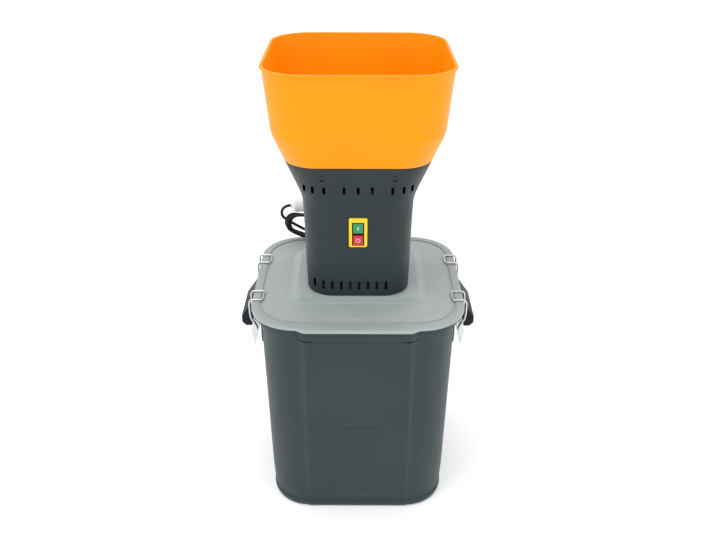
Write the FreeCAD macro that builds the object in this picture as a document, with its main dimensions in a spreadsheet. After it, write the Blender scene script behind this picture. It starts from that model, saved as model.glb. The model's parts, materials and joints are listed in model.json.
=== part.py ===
"""Electric grain mill: a 50 litre bin, a clamped lid, a motor housing and a hopper on top.

The frame is in millimetres, +Z up, +X to the right of someone facing the switch, with the
origin in the middle of the bin's foot. The grain falls from the hopper past the motor into a
chamber under the lid, where a knife on the motor's shaft throws it through a sieve ring.
"""
import FreeCAD, Part
import math
import os
import Sketcher

Vector = FreeCAD.Vector
Rotation = FreeCAD.Rotation

# Driving dimensions. Lengths are in millimetres, angles in degrees.
SIZES = {
    # Bin
    "bin_foot_width": 344,          # across the sides at the floor
    "bin_foot_depth": 373,
    "bin_foot_corner": 88,
    "bin_neck_width": 368,          # across the sides just under the collar
    "bin_neck_depth": 360,
    "bin_neck_corner": 86,
    "bin_wall": 3,
    "bin_floor": 6,
    "foot_recess": 3,               # hollow under the floor, inside the foot ring
    "foot_ring": 14,
    "collar_low": 398,
    "collar_height": 20,
    "collar_width": 384,
    "collar_depth": 364,
    "collar_corner": 92,
    "flat_half": 97,                # half width of the flat front and back panels
    "flat_chamfer": 11,
    "flat_chamfer_foot": 5,
    "flat_root": 2,                 # how far a panel's shoulder lies inside the wall's face
    "neck_panel_proud": 10,
    "foot_panel_proud": 1.5,
    "arch_half": 52,                # embossed arched panel low on the front and back
    "arch_low": 26,
    "arch_high": 204,
    "arch_slope": 14,
    "arch_proud": 2.5,
    # Handles
    "handle_half": 54,
    "handle_low": 347,
    "handle_shoulder": 368,
    "handle_top": 416,
    "handle_reach": 37,             # from the collar's face to the lip
    "handle_wall": 3.5,
    "handle_pad_low": 344,
    "handle_screw_radius": 2.5,
    "handle_screw_head": 4.5,
    # Latches
    "latch_row": 77,                # distance of each latch from the middle of its side
    "latch_pad_face": 186,
    "latch_pad_low": 336,
    "latch_pad_half": 17,
    "bracket_sheet": 1.5,
    "bracket_half": 12,
    "ear_reach": 3.5,
    "ear_half": 4,
    "bracket_low": 342,
    "bracket_high": 392,
    "pivot_offset": 7.5,            # lever pivot in front of the pad
    "pivot_height": 378,
    "pivot_radius": 2,
    "pivot_clearance": 0.06,
    "side_gap": 0.4,                # between latch pieces along a pivot
    "lever_sheet": 1.5,
    "lever_back": 3.5,
    "lever_web": 4.5,               # from the pivot to the inside of the lever's web
    "lever_tail": 46,
    "bail_arm": 12,                 # from the lever pivot down to the bail pivot
    "bail_wire": 3,
    "bail_bow": 12,                 # how far the wire bows out round the rim
    "bail_reach": 14,               # hook bar inboard of the bail pivot
    # Lid
    "gasket_height": 3,
    "gasket_width": 7,
    "lid_width": 400,
    "lid_depth": 380,
    "lid_corner": 88,
    "lid_panel_proud": 10,
    "lid_chamfer": 15,
    "lid_thickness": 7,
    "lid_skin": 4,
    "rim_band": 15,
    "groove_width": 6,
    "groove_depth": 2.5,
    "field_width": 316,
    "field_depth": 324,
    "field_corner": 92,
    "field_height": 2,
    "platform_foot_width": 262,
    "platform_foot_depth": 214,
    "platform_top_width": 232,
    "platform_top_depth": 206,
    "platform_corner": 14,
    "platform_height": 13,
    # Motor housing
    "housing_foot_width": 192,
    "housing_waist_width": 201,
    "housing_depth": 202,
    "housing_corner": 50,
    "housing_waist": 628,
    "housing_top": 704,
    "housing_top_width": 262,
    "housing_top_depth": 252,
    "housing_top_corner": 60,
    "housing_wall": 3,
    "boss_inset": 20,
    "boss_radius": 6,
    "boss_height": 24,
    "vent_width": 6,
    "vent_height": 18,
    "vent_low": 456,
    "vent_pitch": 16.6,
    "vent_count": 9,
    "vent_first": -80.8,
    "upper_vent_low": 650,
    "upper_vent_width": 5,
    "upper_vent_height": 16,
    "upper_vent_pitch": 24.5,
    "upper_vent_side": 60,
    "upper_vent_outer": 80,
    "upper_vent_corner": 95,
    # Hopper
    "hopper_break": 758,
    "hopper_break_width": 301,
    "hopper_break_depth": 300,
    "hopper_break_corner": 68,
    "hopper_top": 873,
    "hopper_width": 327,
    "hopper_depth": 330,
    "hopper_corner": 75,
    "hopper_wall": 3,
    "hopper_lip": 3,
    "hopper_lip_height": 6,
    "hopper_skirt": 28,
    "recess_side": 63,              # screw recesses in front and at the back of the flare
    "recess_level": 684.5,
    "recess_width": 8,
    "recess_height": 14,
    "fit_gap": 0.3,                 # between pieces that sit inside one another
    "outlet": 50,
    "outlet_level": 714,
    "funnel_wall": 3,
    "rail_width": 4,
    "rail_lip": 3,
    # Feed gate and chute
    "gate_thickness": 2.4,
    "gate_travel": 52,
    "gate_overlap": 3,
    "gate_tab_reach": 20,
    "gate_tab_height": 14,
    "chute_width": 44,
    "chute_depth": 26,
    "chute_wall": 2,
    "chute_axis": 65,               # behind the motor's axis
    "chute_bend": 622,
    "chute_flange": 88,
    "chute_flange_thickness": 3,
    # Grinding chamber
    "plate_radius": 98,
    "plate_thickness": 3,
    "sieve_radius": 84,
    "sieve_wall": 1.5,
    "sieve_height": 42,
    "sieve_hole_radius": 3,
    "sieve_hole_count": 24,
    "sieve_hole_rows": 3,
    "stud_ring": 91,
    "stud_radius": 3,
    "nut_radius": 5.5,
    "nut_height": 6,
    "wing_span": 26,
    "wing_height": 9,
    "seal_radius": 13,
    "knife_length": 150,
    "knife_width": 24,
    "knife_thickness": 4,
    "knife_level": 408,
    # Motor
    "bracket_thickness": 6,
    "bracket_radius": 48,
    "lower_bearing_radius": 17.5,
    "lower_bearing_width": 11,
    "lower_bearing_level": 452,
    "upper_bearing_radius": 13,
    "upper_bearing_width": 8,
    "upper_bearing_level": 592,
    "bearing_shell": 3,
    "shaft_radius": 7.5,
    "journal_radius": 5,
    "thread_radius": 6,
    "fan_level": 467,
    "fan_radius": 43,
    "fan_height": 17,
    "fan_blades": 9,
    "stator_low": 500,
    "stator_height": 60,
    "stator_half": 45.5,
    "armature_radius": 27,
    "air_gap": 0.8,
    "coil_inner": 30,
    "coil_thickness": 8,
    "coil_half": 35,
    "coil_band": 9,
    "coil_overhang": 11,
    "winding_radius": 23,
    "winding_overhang": 10,
    "commutator_radius": 14,
    "commutator_low": 571,
    "commutator_height": 17,
    "post_offset": 39.5,
    "post_radius": 4.4,
    "screw_radius": 2.2,
    "screw_head": 4.2,
    "screw_head_height": 3,
    "brush_half": 4,
    "brush_length": 22,
    "brush_gap": 0.35,
    "brush_box_wall": 1.5,
    "brush_level": 579,
    "capacitor_radius": 9,
    "capacitor_length": 30,
    # Switch
    "switch_half_width": 16.6,
    "switch_low": 546,
    "switch_high": 603,
    "switch_plate": 3.5,
    "well_half_width": 11,
    "well_low": 548.8,
    "well_high": 594.5,
    "well_depth": 9,
    "body_half_width": 14.5,
    "body_depth": 38,
    "button_half_width": 8.8,
    "button_height": 19.2,
    "red_low": 550,
    "green_low": 573.4,
    "button_proud": 0.6,
    "button_thickness": 8,
    "button_travel": 3,
    "stem_radius": 3,
    "stem_length": 9,
    # Mains lead
    "cord_diameter": 6.5,
    "gland_x": -22,
    "gland_z": 575,
    "gland_radius": 6.8,
    "gland_flange": 10,
    "gland_flange_thickness": 3,
    "relief_length": 20,
    "relief_root": 6.3,
    "relief_tip": 4.4,
    "hank_y": 172,
    "hank_thickness": 26,
    "hank_height": 64,
    "hank_horn": 20,                # how far its left end stands above its top
    "hank_left": -160.5,
    "hank_right": -2,
    "plug_tail_x": -143,
    "plug_tail": 6,
    "plug_radius": 15,
    "plug_length": 42,
    "pin_radius": 2.4,
    "pin_length": 19,
    "pin_spacing": 19,
}

doc = FreeCAD.newDocument("grain_mill")
sheet = doc.addObject("Spreadsheet::Sheet", "sizes")
for row, (alias, amount) in enumerate(SIZES.items(), start=1):
    sheet.set(f"A{row}", alias)
    sheet.set(f"B{row}", str(amount))
    sheet.setAlias(f"B{row}", alias)
doc.recompute()


class Size:
    """A size from the sheet, or sums of them: its number now and the expression behind it."""

    def __init__(self, amount, words):
        self.amount = amount
        self.words = words

    def __add__(self, other):
        return Size(self.amount + amount_of(other), f"({self.words} + {words_of(other)})")

    def __radd__(self, other):
        return Size(amount_of(other) + self.amount, f"({words_of(other)} + {self.words})")

    def __sub__(self, other):
        return Size(self.amount - amount_of(other), f"({self.words} - {words_of(other)})")

    def __rsub__(self, other):
        return Size(amount_of(other) - self.amount, f"({words_of(other)} - {self.words})")

    def __mul__(self, other):
        return Size(self.amount * amount_of(other), f"({self.words} * {words_of(other)})")

    __rmul__ = __mul__

    def __truediv__(self, other):
        return Size(self.amount / amount_of(other), f"({self.words} / {words_of(other)})")

    def __neg__(self):
        return Size(-self.amount, f"(0 - {self.words})")


class Sizes:
    """Gives each cell of the sheet by its alias."""

    def __getattr__(self, alias):
        return Size(float(sheet.get(alias)), f"sizes.{alias}")


S = Sizes()
nodes = []


def amount_of(value):
    return value.amount if isinstance(value, Size) else float(value)


def words_of(value):
    return value.words if isinstance(value, Size) else repr(float(value))


def bind(item, path, value):
    """Ties a property to its expression, or sets a plain number."""
    item.setExpression(path, words_of(value))


def place(item, base, rotation=None):
    """Gives an object its place, with the base bound to the sheet."""
    item.Placement = FreeCAD.Placement(Vector(*[amount_of(value) for value in base]),
                                       rotation or Rotation())
    for axis, value in zip("xyz", base):
        bind(item, f"Placement.Base.{axis}", value)
    return item


def keep(item):
    """Marks an object as a sub-part that is written out."""
    nodes.append(item)
    return item


# Part primitives and booleans
def block(name, low, high):
    item = doc.addObject("Part::Box", name)
    for side, start, end in zip(("Length", "Width", "Height"), low, high):
        bind(item, side, end - start)
    return place(item, low)


TURNS = {
    "Z": Rotation(),
    "X": Rotation(Vector(0, 1, 0), 90),
    "Y": Rotation(Vector(1, 0, 0), -90),
}


def rod(name, radius, base, length, axis="Z"):
    item = doc.addObject("Part::Cylinder", name)
    bind(item, "Radius", radius)
    bind(item, "Height", length)
    return place(item, base, TURNS[axis])


def fuse(name, items):
    item = doc.addObject("Part::MultiFuse", name)
    item.Shapes = items
    return item


def cut(name, base, tools):
    item = doc.addObject("Part::Cut", name)
    item.Base = base
    item.Tool = tools[0] if len(tools) == 1 else fuse(name + "_tools", tools)
    return item


def group(name, items):
    item = doc.addObject("Part::Compound", name)
    item.Links = items
    return item


def ring(name, outer, inner, base, length, axis="Z"):
    return cut(name, rod(name + "_outside", outer, base, length, axis),
               [rod(name + "_bore", inner, base, length, axis)])


# PartDesign bodies and sketches
def new_body(name):
    return doc.addObject("PartDesign::Body", name)


def sketch(body, plane, level=0):
    """A sketch on one of the body's own origin planes, moved along its normal by level."""
    item = body.newObject("Sketcher::SketchObject", body.Name + "_sketch")
    support = next(plate for plate in body.Origin.OriginFeatures if plate.Role == plane + "_Plane")
    item.AttachmentSupport = [(support, "")]
    item.MapMode = "FlatFace"
    bind(item, "AttachmentOffset.Base.z", level)
    return item


def pin_point(item, geometry, point, x, y):
    """Fixes a point of a sketch at x, y from the sketch's origin."""
    for kind, value in (("DistanceX", x), ("DistanceY", y)):
        rule = Sketcher.Constraint(kind, -1, 1, geometry, point, amount_of(value))
        index = item.addConstraint(rule)
        if isinstance(value, Size):
            item.setExpression(f"Constraints[{index}]", value.words)


def polygon(item, points):
    first = item.GeometryCount
    count = len(points)
    spots = [Vector(amount_of(x), amount_of(y), 0) for x, y in points]
    for index in range(count):
        item.addGeometry(Part.LineSegment(spots[index], spots[(index + 1) % count]))
    for index in range(count):
        item.addConstraint(Sketcher.Constraint("Coincident", first + index, 2,
                                               first + (index + 1) % count, 1))
    for index, (x, y) in enumerate(points):
        pin_point(item, first + index, 1, x, y)
    return item


def rectangle(item, x_low, x_high, y_low, y_high):
    return polygon(item, [(x_low, y_low), (x_high, y_low), (x_high, y_high), (x_low, y_high)])


def circle(item, radius, x=0, y=0):
    centre = Vector(amount_of(x), amount_of(y), 0)
    index = item.addGeometry(Part.Circle(centre, Vector(0, 0, 1), amount_of(radius)))
    pin_point(item, index, 3, x, y)
    rule = item.addConstraint(Sketcher.Constraint("Radius", index, amount_of(radius)))
    if isinstance(radius, Size):
        item.setExpression(f"Constraints[{rule}]", radius.words)
    return item


def rounded(item, width, depth, corner, x=0, y=0):
    """A rectangle with round corners about the point x, y."""
    side, end = width / 2, depth / 2
    inner_side, inner_end = side - corner, end - corner
    # Eight points run round the outline, two at each corner, and a quarter arc joins each pair.
    points = [(x - inner_side, y - end), (x + inner_side, y - end),
              (x + side, y - inner_end), (x + side, y + inner_end),
              (x + inner_side, y + end), (x - inner_side, y + end),
              (x - side, y + inner_end), (x - side, y - inner_end)]
    centres = [(x + inner_side, y - inner_end), (x + inner_side, y + inner_end),
               (x - inner_side, y + inner_end), (x - inner_side, y - inner_end)]
    spots = [Vector(amount_of(px), amount_of(py), 0) for px, py in points]
    radius = amount_of(corner)
    first = item.GeometryCount
    for index in range(4):
        item.addGeometry(Part.LineSegment(spots[2 * index], spots[2 * index + 1]))
        centre = Vector(*[amount_of(value) for value in centres[index]], 0)
        start = math.radians(-90 + 90 * index)
        item.addGeometry(Part.ArcOfCircle(Part.Circle(centre, Vector(0, 0, 1), radius),
                                          start, start + math.pi / 2))
    for index in range(4):
        line, arc = first + 2 * index, first + 2 * index + 1
        following = first + (2 * index + 2) % 8
        item.addConstraint(Sketcher.Constraint("Coincident", line, 2, arc, 1))
        item.addConstraint(Sketcher.Constraint("Coincident", arc, 2, following, 1))
        pin_point(item, line, 1, *points[2 * index])
        pin_point(item, line, 2, *points[2 * index + 1])
        rule = item.addConstraint(Sketcher.Constraint("Radius", arc, radius))
        item.setExpression(f"Constraints[{rule}]", words_of(corner))
    return item


def pad(body, item, length, both=False, back=False):
    feature = body.newObject("PartDesign::Pad", body.Name + "_pad")
    feature.Profile = item
    bind(feature, "Length", length)
    feature.SideType = "Symmetric" if both else "One side"
    feature.Reversed = back
    return feature


def pocket(body, item, length, both=False, back=False):
    """Cuts against the sketch's normal, or along it with back."""
    feature = body.newObject("PartDesign::Pocket", body.Name + "_pocket")
    feature.Profile = item
    bind(feature, "Length", length)
    feature.SideType = "Symmetric" if both else "One side"
    feature.Reversed = back
    return feature


def loft(body, sections, removes=False):
    kind = "SubtractiveLoft" if removes else "AdditiveLoft"
    feature = body.newObject("PartDesign::" + kind, body.Name + "_loft")
    feature.Profile = sections[0]
    feature.Sections = sections[1:]
    feature.Ruled = True
    return feature


def turned(name, profile, base=(0, 0, 0), axis="Z"):
    """A body turned about an axis through base, from points of radius and height."""
    body = new_body(name)
    item = polygon(sketch(body, "XZ"), profile)
    feature = body.newObject("PartDesign::Revolution", name + "_turn")
    feature.Profile = item
    feature.ReferenceAxis = (item, ["V_Axis"])
    feature.Angle = 360
    return place(body, base, TURNS[axis])


def linear(body, feature, axis, pitch, count):
    """Repeats a feature along one of its sketch's axes."""
    pattern = body.newObject("PartDesign::LinearPattern", body.Name + "_row")
    pattern.Originals = [feature]
    pattern.Direction = (feature.Profile[0], [axis])
    pattern.Mode = "Extent"
    bind(pattern, "Length", pitch * (count - 1))
    pattern.Occurrences = int(round(amount_of(count)))
    body.Tip = pattern
    return pattern


# Outlines that several pieces share
def plan(body, level, outline, inset=0):
    width, depth, corner = outline
    return rounded(sketch(body, "XY", level), width - 2 * inset, depth - 2 * inset, corner - inset)


def flat_plan(body, level, outline, proud, chamfer, inset=0):
    """An eight-sided outline whose ends are the flat panels in front and at the back."""
    half = S.flat_half - inset / 2
    face = outline[1] / 2 + proud - inset
    root = outline[1] / 2 - S.flat_root - inset
    side = half + chamfer
    return polygon(sketch(body, "XY", level), [
        (-half, -face), (half, -face), (side, -root), (side, root),
        (half, face), (-half, face), (-side, root), (-side, -root)])


FOOT = (S.bin_foot_width, S.bin_foot_depth, S.bin_foot_corner)
NECK = (S.bin_neck_width, S.bin_neck_depth, S.bin_neck_corner)
COLLAR = (S.collar_width, S.collar_depth, S.collar_corner)
LID = (S.lid_width, S.lid_depth, S.lid_corner)
HOUSING_FOOT = (S.housing_foot_width, S.housing_depth, S.housing_corner)
HOUSING_WAIST = (S.housing_waist_width, S.housing_depth, S.housing_corner)
HOUSING_TOP = (S.housing_top_width, S.housing_top_depth, S.housing_top_corner)
HOPPER_BREAK = (S.hopper_break_width, S.hopper_break_depth, S.hopper_break_corner)
HOPPER_TOP = (S.hopper_width, S.hopper_depth, S.hopper_corner)

# Levels that follow from the sizes
bin_top = S.collar_low + S.collar_height
lid_low = bin_top + S.gasket_height
lid_top = lid_low + S.lid_thickness
field_top = lid_top + S.field_height
platform_top = field_top + S.platform_height
plate_low = platform_top - S.lid_skin - S.plate_thickness
sieve_low = plate_low - S.sieve_height
bottom_plate_low = sieve_low - S.plate_thickness
wall_face = S.housing_depth / 2


handle_screw_level = (S.handle_pad_low + S.handle_shoulder) / 2
handle_screw_row = S.handle_half / 2
handle_screw_grip = 2 * S.handle_wall
RIVET_LEVELS = {"low": S.bracket_low + 4 * S.pivot_radius,
                "high": S.bracket_high - 2 * S.pivot_radius}


def bin_shell():
    """The bin: a tapered shell with a stepped collar, flat panels and pads for its fittings."""
    body = new_body("bin_shell")
    loft(body, [plan(body, 0, FOOT), plan(body, S.collar_low, NECK)])
    loft(body, [flat_plan(body, 0, FOOT, S.foot_panel_proud, S.flat_chamfer_foot),
                flat_plan(body, S.collar_low, NECK, S.neck_panel_proud, S.flat_chamfer)])
    pad(body, plan(body, S.collar_low, COLLAR), S.collar_height)
    pad(body, flat_plan(body, S.collar_low, COLLAR, S.lid_panel_proud, S.flat_chamfer),
        S.collar_height)
    arch_shoulder = S.arch_high - S.arch_slope
    pad(body, polygon(sketch(body, "XZ"), [
        (-S.arch_half, S.arch_low), (S.arch_half, S.arch_low), (S.arch_half, arch_shoulder),
        (S.arch_half - S.arch_slope, S.arch_high), (S.arch_slope - S.arch_half, S.arch_high),
        (-S.arch_half, arch_shoulder)]),
        S.bin_foot_depth + 2 * (S.foot_panel_proud + S.arch_proud), both=True)
    pad(body, rectangle(sketch(body, "YZ"), -S.handle_half, S.handle_half,
                        S.handle_pad_low, S.collar_low), S.collar_width, both=True)
    for row in (-S.latch_row, S.latch_row):
        pad(body, rectangle(sketch(body, "YZ"), row - S.latch_pad_half, row + S.latch_pad_half,
                            S.latch_pad_low, S.collar_low), 2 * S.latch_pad_face, both=True)
    shelf = S.collar_low + S.bin_wall
    loft(body, [plan(body, S.bin_floor, FOOT, S.bin_wall), plan(body, shelf, NECK, S.bin_wall)],
         removes=True)
    loft(body, [flat_plan(body, S.bin_floor, FOOT, S.foot_panel_proud, S.flat_chamfer_foot,
                          S.bin_wall),
                flat_plan(body, shelf, NECK, S.neck_panel_proud, S.flat_chamfer, S.bin_wall)],
         removes=True)
    pocket(body, plan(body, bin_top, COLLAR, S.bin_wall), S.collar_height - S.bin_wall)
    pocket(body, flat_plan(body, bin_top, COLLAR, S.lid_panel_proud, S.flat_chamfer, S.bin_wall),
           S.collar_height - S.bin_wall)
    pocket(body, plan(body, 0, FOOT, S.foot_ring), S.foot_recess, back=True)
    for side in (-1, 1):
        screws = sketch(body, "YZ", S.collar_width / 2 * side)
        rivets = sketch(body, "YZ", S.latch_pad_face * side)
        for row in (-1, 1):
            circle(screws, S.handle_screw_radius, handle_screw_row * row, handle_screw_level)
            for level in RIVET_LEVELS.values():
                circle(rivets, S.pivot_radius, S.latch_row * row, level)
        pocket(body, screws, handle_screw_grip - S.handle_wall, back=side < 0)
        pocket(body, rivets, S.bin_wall, back=side < 0)
    return keep(body)


def bin_handle(name, side):
    """A hood handle: fingers go in from below, behind the lip."""
    body = new_body(name)
    face = S.collar_width / 2
    lip = face + S.handle_reach
    wall = S.handle_wall
    outline = [(face, S.handle_low), (lip, S.handle_low), (lip, S.handle_shoulder),
               (face + wall, S.handle_top), (face, S.handle_top)]
    pad(body, polygon(sketch(body, "XZ"), outline), 2 * S.handle_half, both=True)
    hollow = [(face + wall, S.handle_low - 1), (lip - wall, S.handle_low - 1),
              (lip - wall, S.handle_shoulder - wall / 2), (face + wall, S.handle_top - 2 * wall)]
    pocket(body, polygon(sketch(body, "XZ"), hollow), 2 * (S.handle_half - wall), both=True)
    holes = sketch(body, "YZ", face)
    for row in (-1, 1):
        circle(holes, S.handle_screw_radius, handle_screw_row * row, handle_screw_level)
    pocket(body, holes, wall, back=True)
    turn = Rotation(Vector(0, 0, 1), 0 if side > 0 else 180)
    return keep(place(body, (0, 0, 0), turn))


def handle_screws():
    """Two screws a side, through the hood's back plate into the pad on the bin."""
    items = []
    start = S.collar_width / 2 + S.handle_wall
    shank = handle_screw_grip
    for side in (-1, 1):
        for row in (-1, 1):
            mark = f"{side + 1}{row + 1}"
            y = handle_screw_row * row
            shank_base = start - shank if side > 0 else -start
            head_base = start if side > 0 else -start - S.screw_head_height
            items.append(fuse("handle_screw_" + mark, [
                rod("handle_shank_" + mark, S.handle_screw_radius,
                    (shank_base, y, handle_screw_level), shank, "X"),
                rod("handle_head_" + mark, S.handle_screw_head,
                    (head_base, y, handle_screw_level), S.screw_head_height, "X")]))
    return keep(group("handle_screws", items))


# Toggle latches. Each piece is drawn about the lever's pivot, with x outward from the bin.
pivot_x = S.latch_pad_face + S.pivot_offset
pad_x = -S.pivot_offset
CORNERS = {
    "left_front": (-1, -1), "right_front": (1, -1), "left_back": (-1, 1), "right_back": (1, 1)}


def at_latch(item, side, row):
    turn = Rotation(Vector(0, 0, 1), 0 if side > 0 else 180)
    return place(item, (pivot_x * side, S.latch_row * row, S.pivot_height), turn)


def latch_bracket(name, side, row):
    """A riveted channel whose two ears carry the lever's pin."""
    body = new_body(name)
    plate_x = pad_x + S.bracket_sheet
    low = S.bracket_low - S.pivot_height
    high = S.bracket_high - S.pivot_height
    pad(body, polygon(sketch(body, "XZ"), [
        (pad_x, low), (plate_x, low), (plate_x, -2 * S.ear_half), (S.ear_reach, -S.ear_half),
        (S.ear_reach, S.ear_half), (plate_x, 2 * S.ear_half), (plate_x, high), (pad_x, high)]),
        2 * S.bracket_half, both=True)
    pocket(body, rectangle(sketch(body, "XZ"), plate_x, S.ear_reach + 1, low, high),
           2 * (S.bracket_half - S.bracket_sheet), both=True)
    pocket(body, circle(sketch(body, "XZ"), S.pivot_radius), 3 * S.bracket_half, both=True)
    holes = sketch(body, "YZ", plate_x)
    for level in RIVET_LEVELS.values():
        circle(holes, S.pivot_radius, 0, level - S.pivot_height)
    pocket(body, holes, S.bracket_sheet)
    return at_latch(body, side, row)


def latch_rivet(name, side, row, level):
    """A round-headed rivet through the bracket's plate into the pad."""
    reach = S.bracket_sheet + S.bin_wall
    x = S.latch_pad_face + S.bracket_sheet
    shank_base = x - reach if side > 0 else -x
    head_base = x if side > 0 else -x - S.bracket_sheet
    y = S.latch_row * row
    return fuse(name, [
        rod(name + "_shank", S.pivot_radius, (shank_base, y, level), reach, "X"),
        rod(name + "_head", 2 * S.pivot_radius, (head_base, y, level), S.bracket_sheet, "X")])


flange_in = S.bracket_half + S.side_gap
flange_out = flange_in + S.lever_sheet
arm_in = flange_out + 2 * S.side_gap + S.bracket_sheet / 2
arm_out = arm_in + S.bail_wire


def latch_pin(name, side, row):
    """The lever's pin, with a flat head outside each flange."""
    x, y, z = pivot_x * side, S.latch_row * row, S.pivot_height
    reach = flange_out + S.side_gap / 2
    head = S.bracket_sheet / 2
    return fuse(name, [
        rod(name + "_shank", S.pivot_radius, (x, y - reach, z), 2 * reach, "Y"),
        rod(name + "_head_a", 1.5 * S.pivot_radius, (x, y - reach - head, z), head, "Y"),
        rod(name + "_head_b", 1.5 * S.pivot_radius, (x, y + reach, z), head, "Y")])


def latch_lever(corner):
    """A sheet metal channel that hangs from its pin; its web ends in a finger tail."""
    side, row = CORNERS[corner]
    body = new_body("latch_lever_" + corner)
    back, web, sheet_thick = -S.lever_back, S.lever_web, S.lever_sheet
    out = web + sheet_thick
    tail = -S.lever_tail
    bend = tail + S.pivot_offset
    pad(body, polygon(sketch(body, "XZ"), [
        (back, S.lever_back), (-back, S.lever_back), (out, 0), (out, bend),
        (out + 2 * sheet_thick, tail), (out + sheet_thick, tail), (web, bend),
        (web, tail / 2), (back, -S.bail_arm - S.lever_back)]), 2 * flange_out, both=True)
    pocket(body, polygon(sketch(body, "XZ"), [
        (back - 1, S.lever_back + 1), (out + 1, S.lever_back + 1), (out + 1, -S.ear_half),
        (web, -S.ear_half), (web, tail), (back - 1, tail)]), 2 * flange_in, both=True)
    pocket(body, circle(sketch(body, "XZ"), S.pivot_radius + S.pivot_clearance),
           3 * flange_out, both=True)
    pocket(body, circle(sketch(body, "XZ"), S.bail_wire / 2 + S.pivot_clearance, 0, -S.bail_arm),
           3 * flange_out, both=True)
    return keep(at_latch(body, side, row))


def latch_bail(corner):
    """A wire frame hinged on the lever, bowed out round the rim, that hooks over the lid."""
    side, row = CORNERS[corner]
    body = new_body("latch_bail_" + corner)
    half = S.bail_wire / 2
    foot = -S.bail_arm
    bar = lid_top + S.fit_gap + half - S.pivot_height
    bow = S.bail_bow
    # Each point of the wire's middle line with the way its outer side lies from it.
    line = [((0, foot), (half, 0)),
            ((half, foot + 4 * half), (half, -half / 3)),
            ((bow - half, foot + 16 * half), (half, -half / 3)),
            ((bow, foot + 3 * bow), (half, 0)),
            ((bow, bar - 4 * half), (half, half / 3)),
            ((bow - 2 * half, bar), (half / 2, half)),
            ((-S.bail_reach - half, bar), (0, half))]
    outer = [(x + dx, z + dz) for (x, z), (dx, dz) in line]
    inner = [(x - dx, z - dz) for (x, z), (dx, dz) in reversed(line)]
    pad(body, polygon(sketch(body, "XZ"), outer + inner), 2 * arm_out, both=True)
    pocket(body, rectangle(sketch(body, "XZ"), half - S.bail_reach, bow + S.bail_wire,
                           foot - S.bail_wire, bar + S.bail_wire), 2 * arm_in, both=True)
    pad(body, circle(sketch(body, "XZ"), half, 0, foot), 2 * arm_out, both=True)
    pocket(body, circle(sketch(body, "XZ"), S.bail_wire, 0, foot), 2 * flange_in, both=True)
    return keep(at_latch(body, side, row))


def latches():
    brackets, rivets, pins = [], [], []
    for corner, (side, row) in CORNERS.items():
        brackets.append(latch_bracket("bracket_" + corner, side, row))
        for end, level in RIVET_LEVELS.items():
            rivets.append(latch_rivet(f"rivet_{end}_{corner}", side, row, level))
        pins.append(latch_pin("pin_" + corner, side, row))
        latch_lever(corner)
        latch_bail(corner)
    keep(group("latch_brackets", brackets))
    keep(group("latch_rivets", rivets))
    keep(group("latch_pins", pins))


# Places of the fastenings that several pieces share
stud_offset = S.stud_ring / math.sqrt(2)
boss_x = S.housing_foot_width / 2 - S.boss_inset
boss_y = S.housing_depth / 2 - S.boss_inset
QUARTERS = ((-1, -1), (1, -1), (1, 1), (-1, 1))


def four_circles(item, radius, x, y):
    for side, row in QUARTERS:
        circle(item, radius, x * side, y * row)
    return item


def lid():
    """The lid: rim band, groove, raised field and the platform that carries the housing."""
    body = new_body("lid")
    pad(body, plan(body, lid_low, LID), S.lid_thickness)
    pad(body, flat_plan(body, lid_low, LID, S.lid_panel_proud, S.lid_chamfer), S.lid_thickness)
    pad(body, rounded(sketch(body, "XY", lid_top), S.field_width, S.field_depth, S.field_corner),
        S.field_height)
    loft(body, [rounded(sketch(body, "XY", field_top), S.platform_foot_width,
                        S.platform_foot_depth, S.platform_corner),
                rounded(sketch(body, "XY", platform_top), S.platform_top_width,
                        S.platform_top_depth, S.platform_corner)])
    groove = plan(body, lid_top, LID, S.rim_band)
    inside = S.rim_band + S.groove_width
    rounded(groove, S.lid_width - 2 * inside, S.lid_depth - 2 * inside, S.lid_corner - inside)
    pocket(body, groove, S.groove_depth)
    pocket(body, plan(body, lid_low, LID, inside + S.lid_skin), S.lid_thickness - S.lid_skin,
           back=True)
    skin = 2 * S.lid_skin
    loft(body, [rounded(sketch(body, "XY", lid_low), S.platform_foot_width - skin,
                        S.platform_foot_depth - skin, S.platform_corner - S.lid_skin),
                rounded(sketch(body, "XY", platform_top - S.lid_skin),
                        S.platform_top_width - skin, S.platform_top_depth - skin,
                        S.platform_corner - S.lid_skin)], removes=True)
    holes = sketch(body, "XY", platform_top)
    circle(holes, S.seal_radius)
    four_circles(holes, S.stud_radius + S.fit_gap, stud_offset, stud_offset)
    four_circles(holes, S.screw_radius + S.fit_gap, boss_x, boss_y)
    rounded(holes, chute_outer_width + 2 * S.fit_gap, chute_outer_depth + 2 * S.fit_gap,
            S.chute_wall, 0, S.chute_axis)
    pocket(body, holes, 2 * S.lid_skin)
    return keep(body)


def lid_gasket():
    body = new_body("lid_gasket")
    pad(body, plan(body, bin_top, COLLAR), S.gasket_height)
    pad(body, flat_plan(body, bin_top, COLLAR, S.lid_panel_proud, S.flat_chamfer),
        S.gasket_height)
    pocket(body, plan(body, lid_low, COLLAR, S.gasket_width), S.gasket_height)
    pocket(body, flat_plan(body, lid_low, COLLAR, S.lid_panel_proud, S.flat_chamfer,
                           S.gasket_width), S.gasket_height)
    return keep(body)


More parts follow.
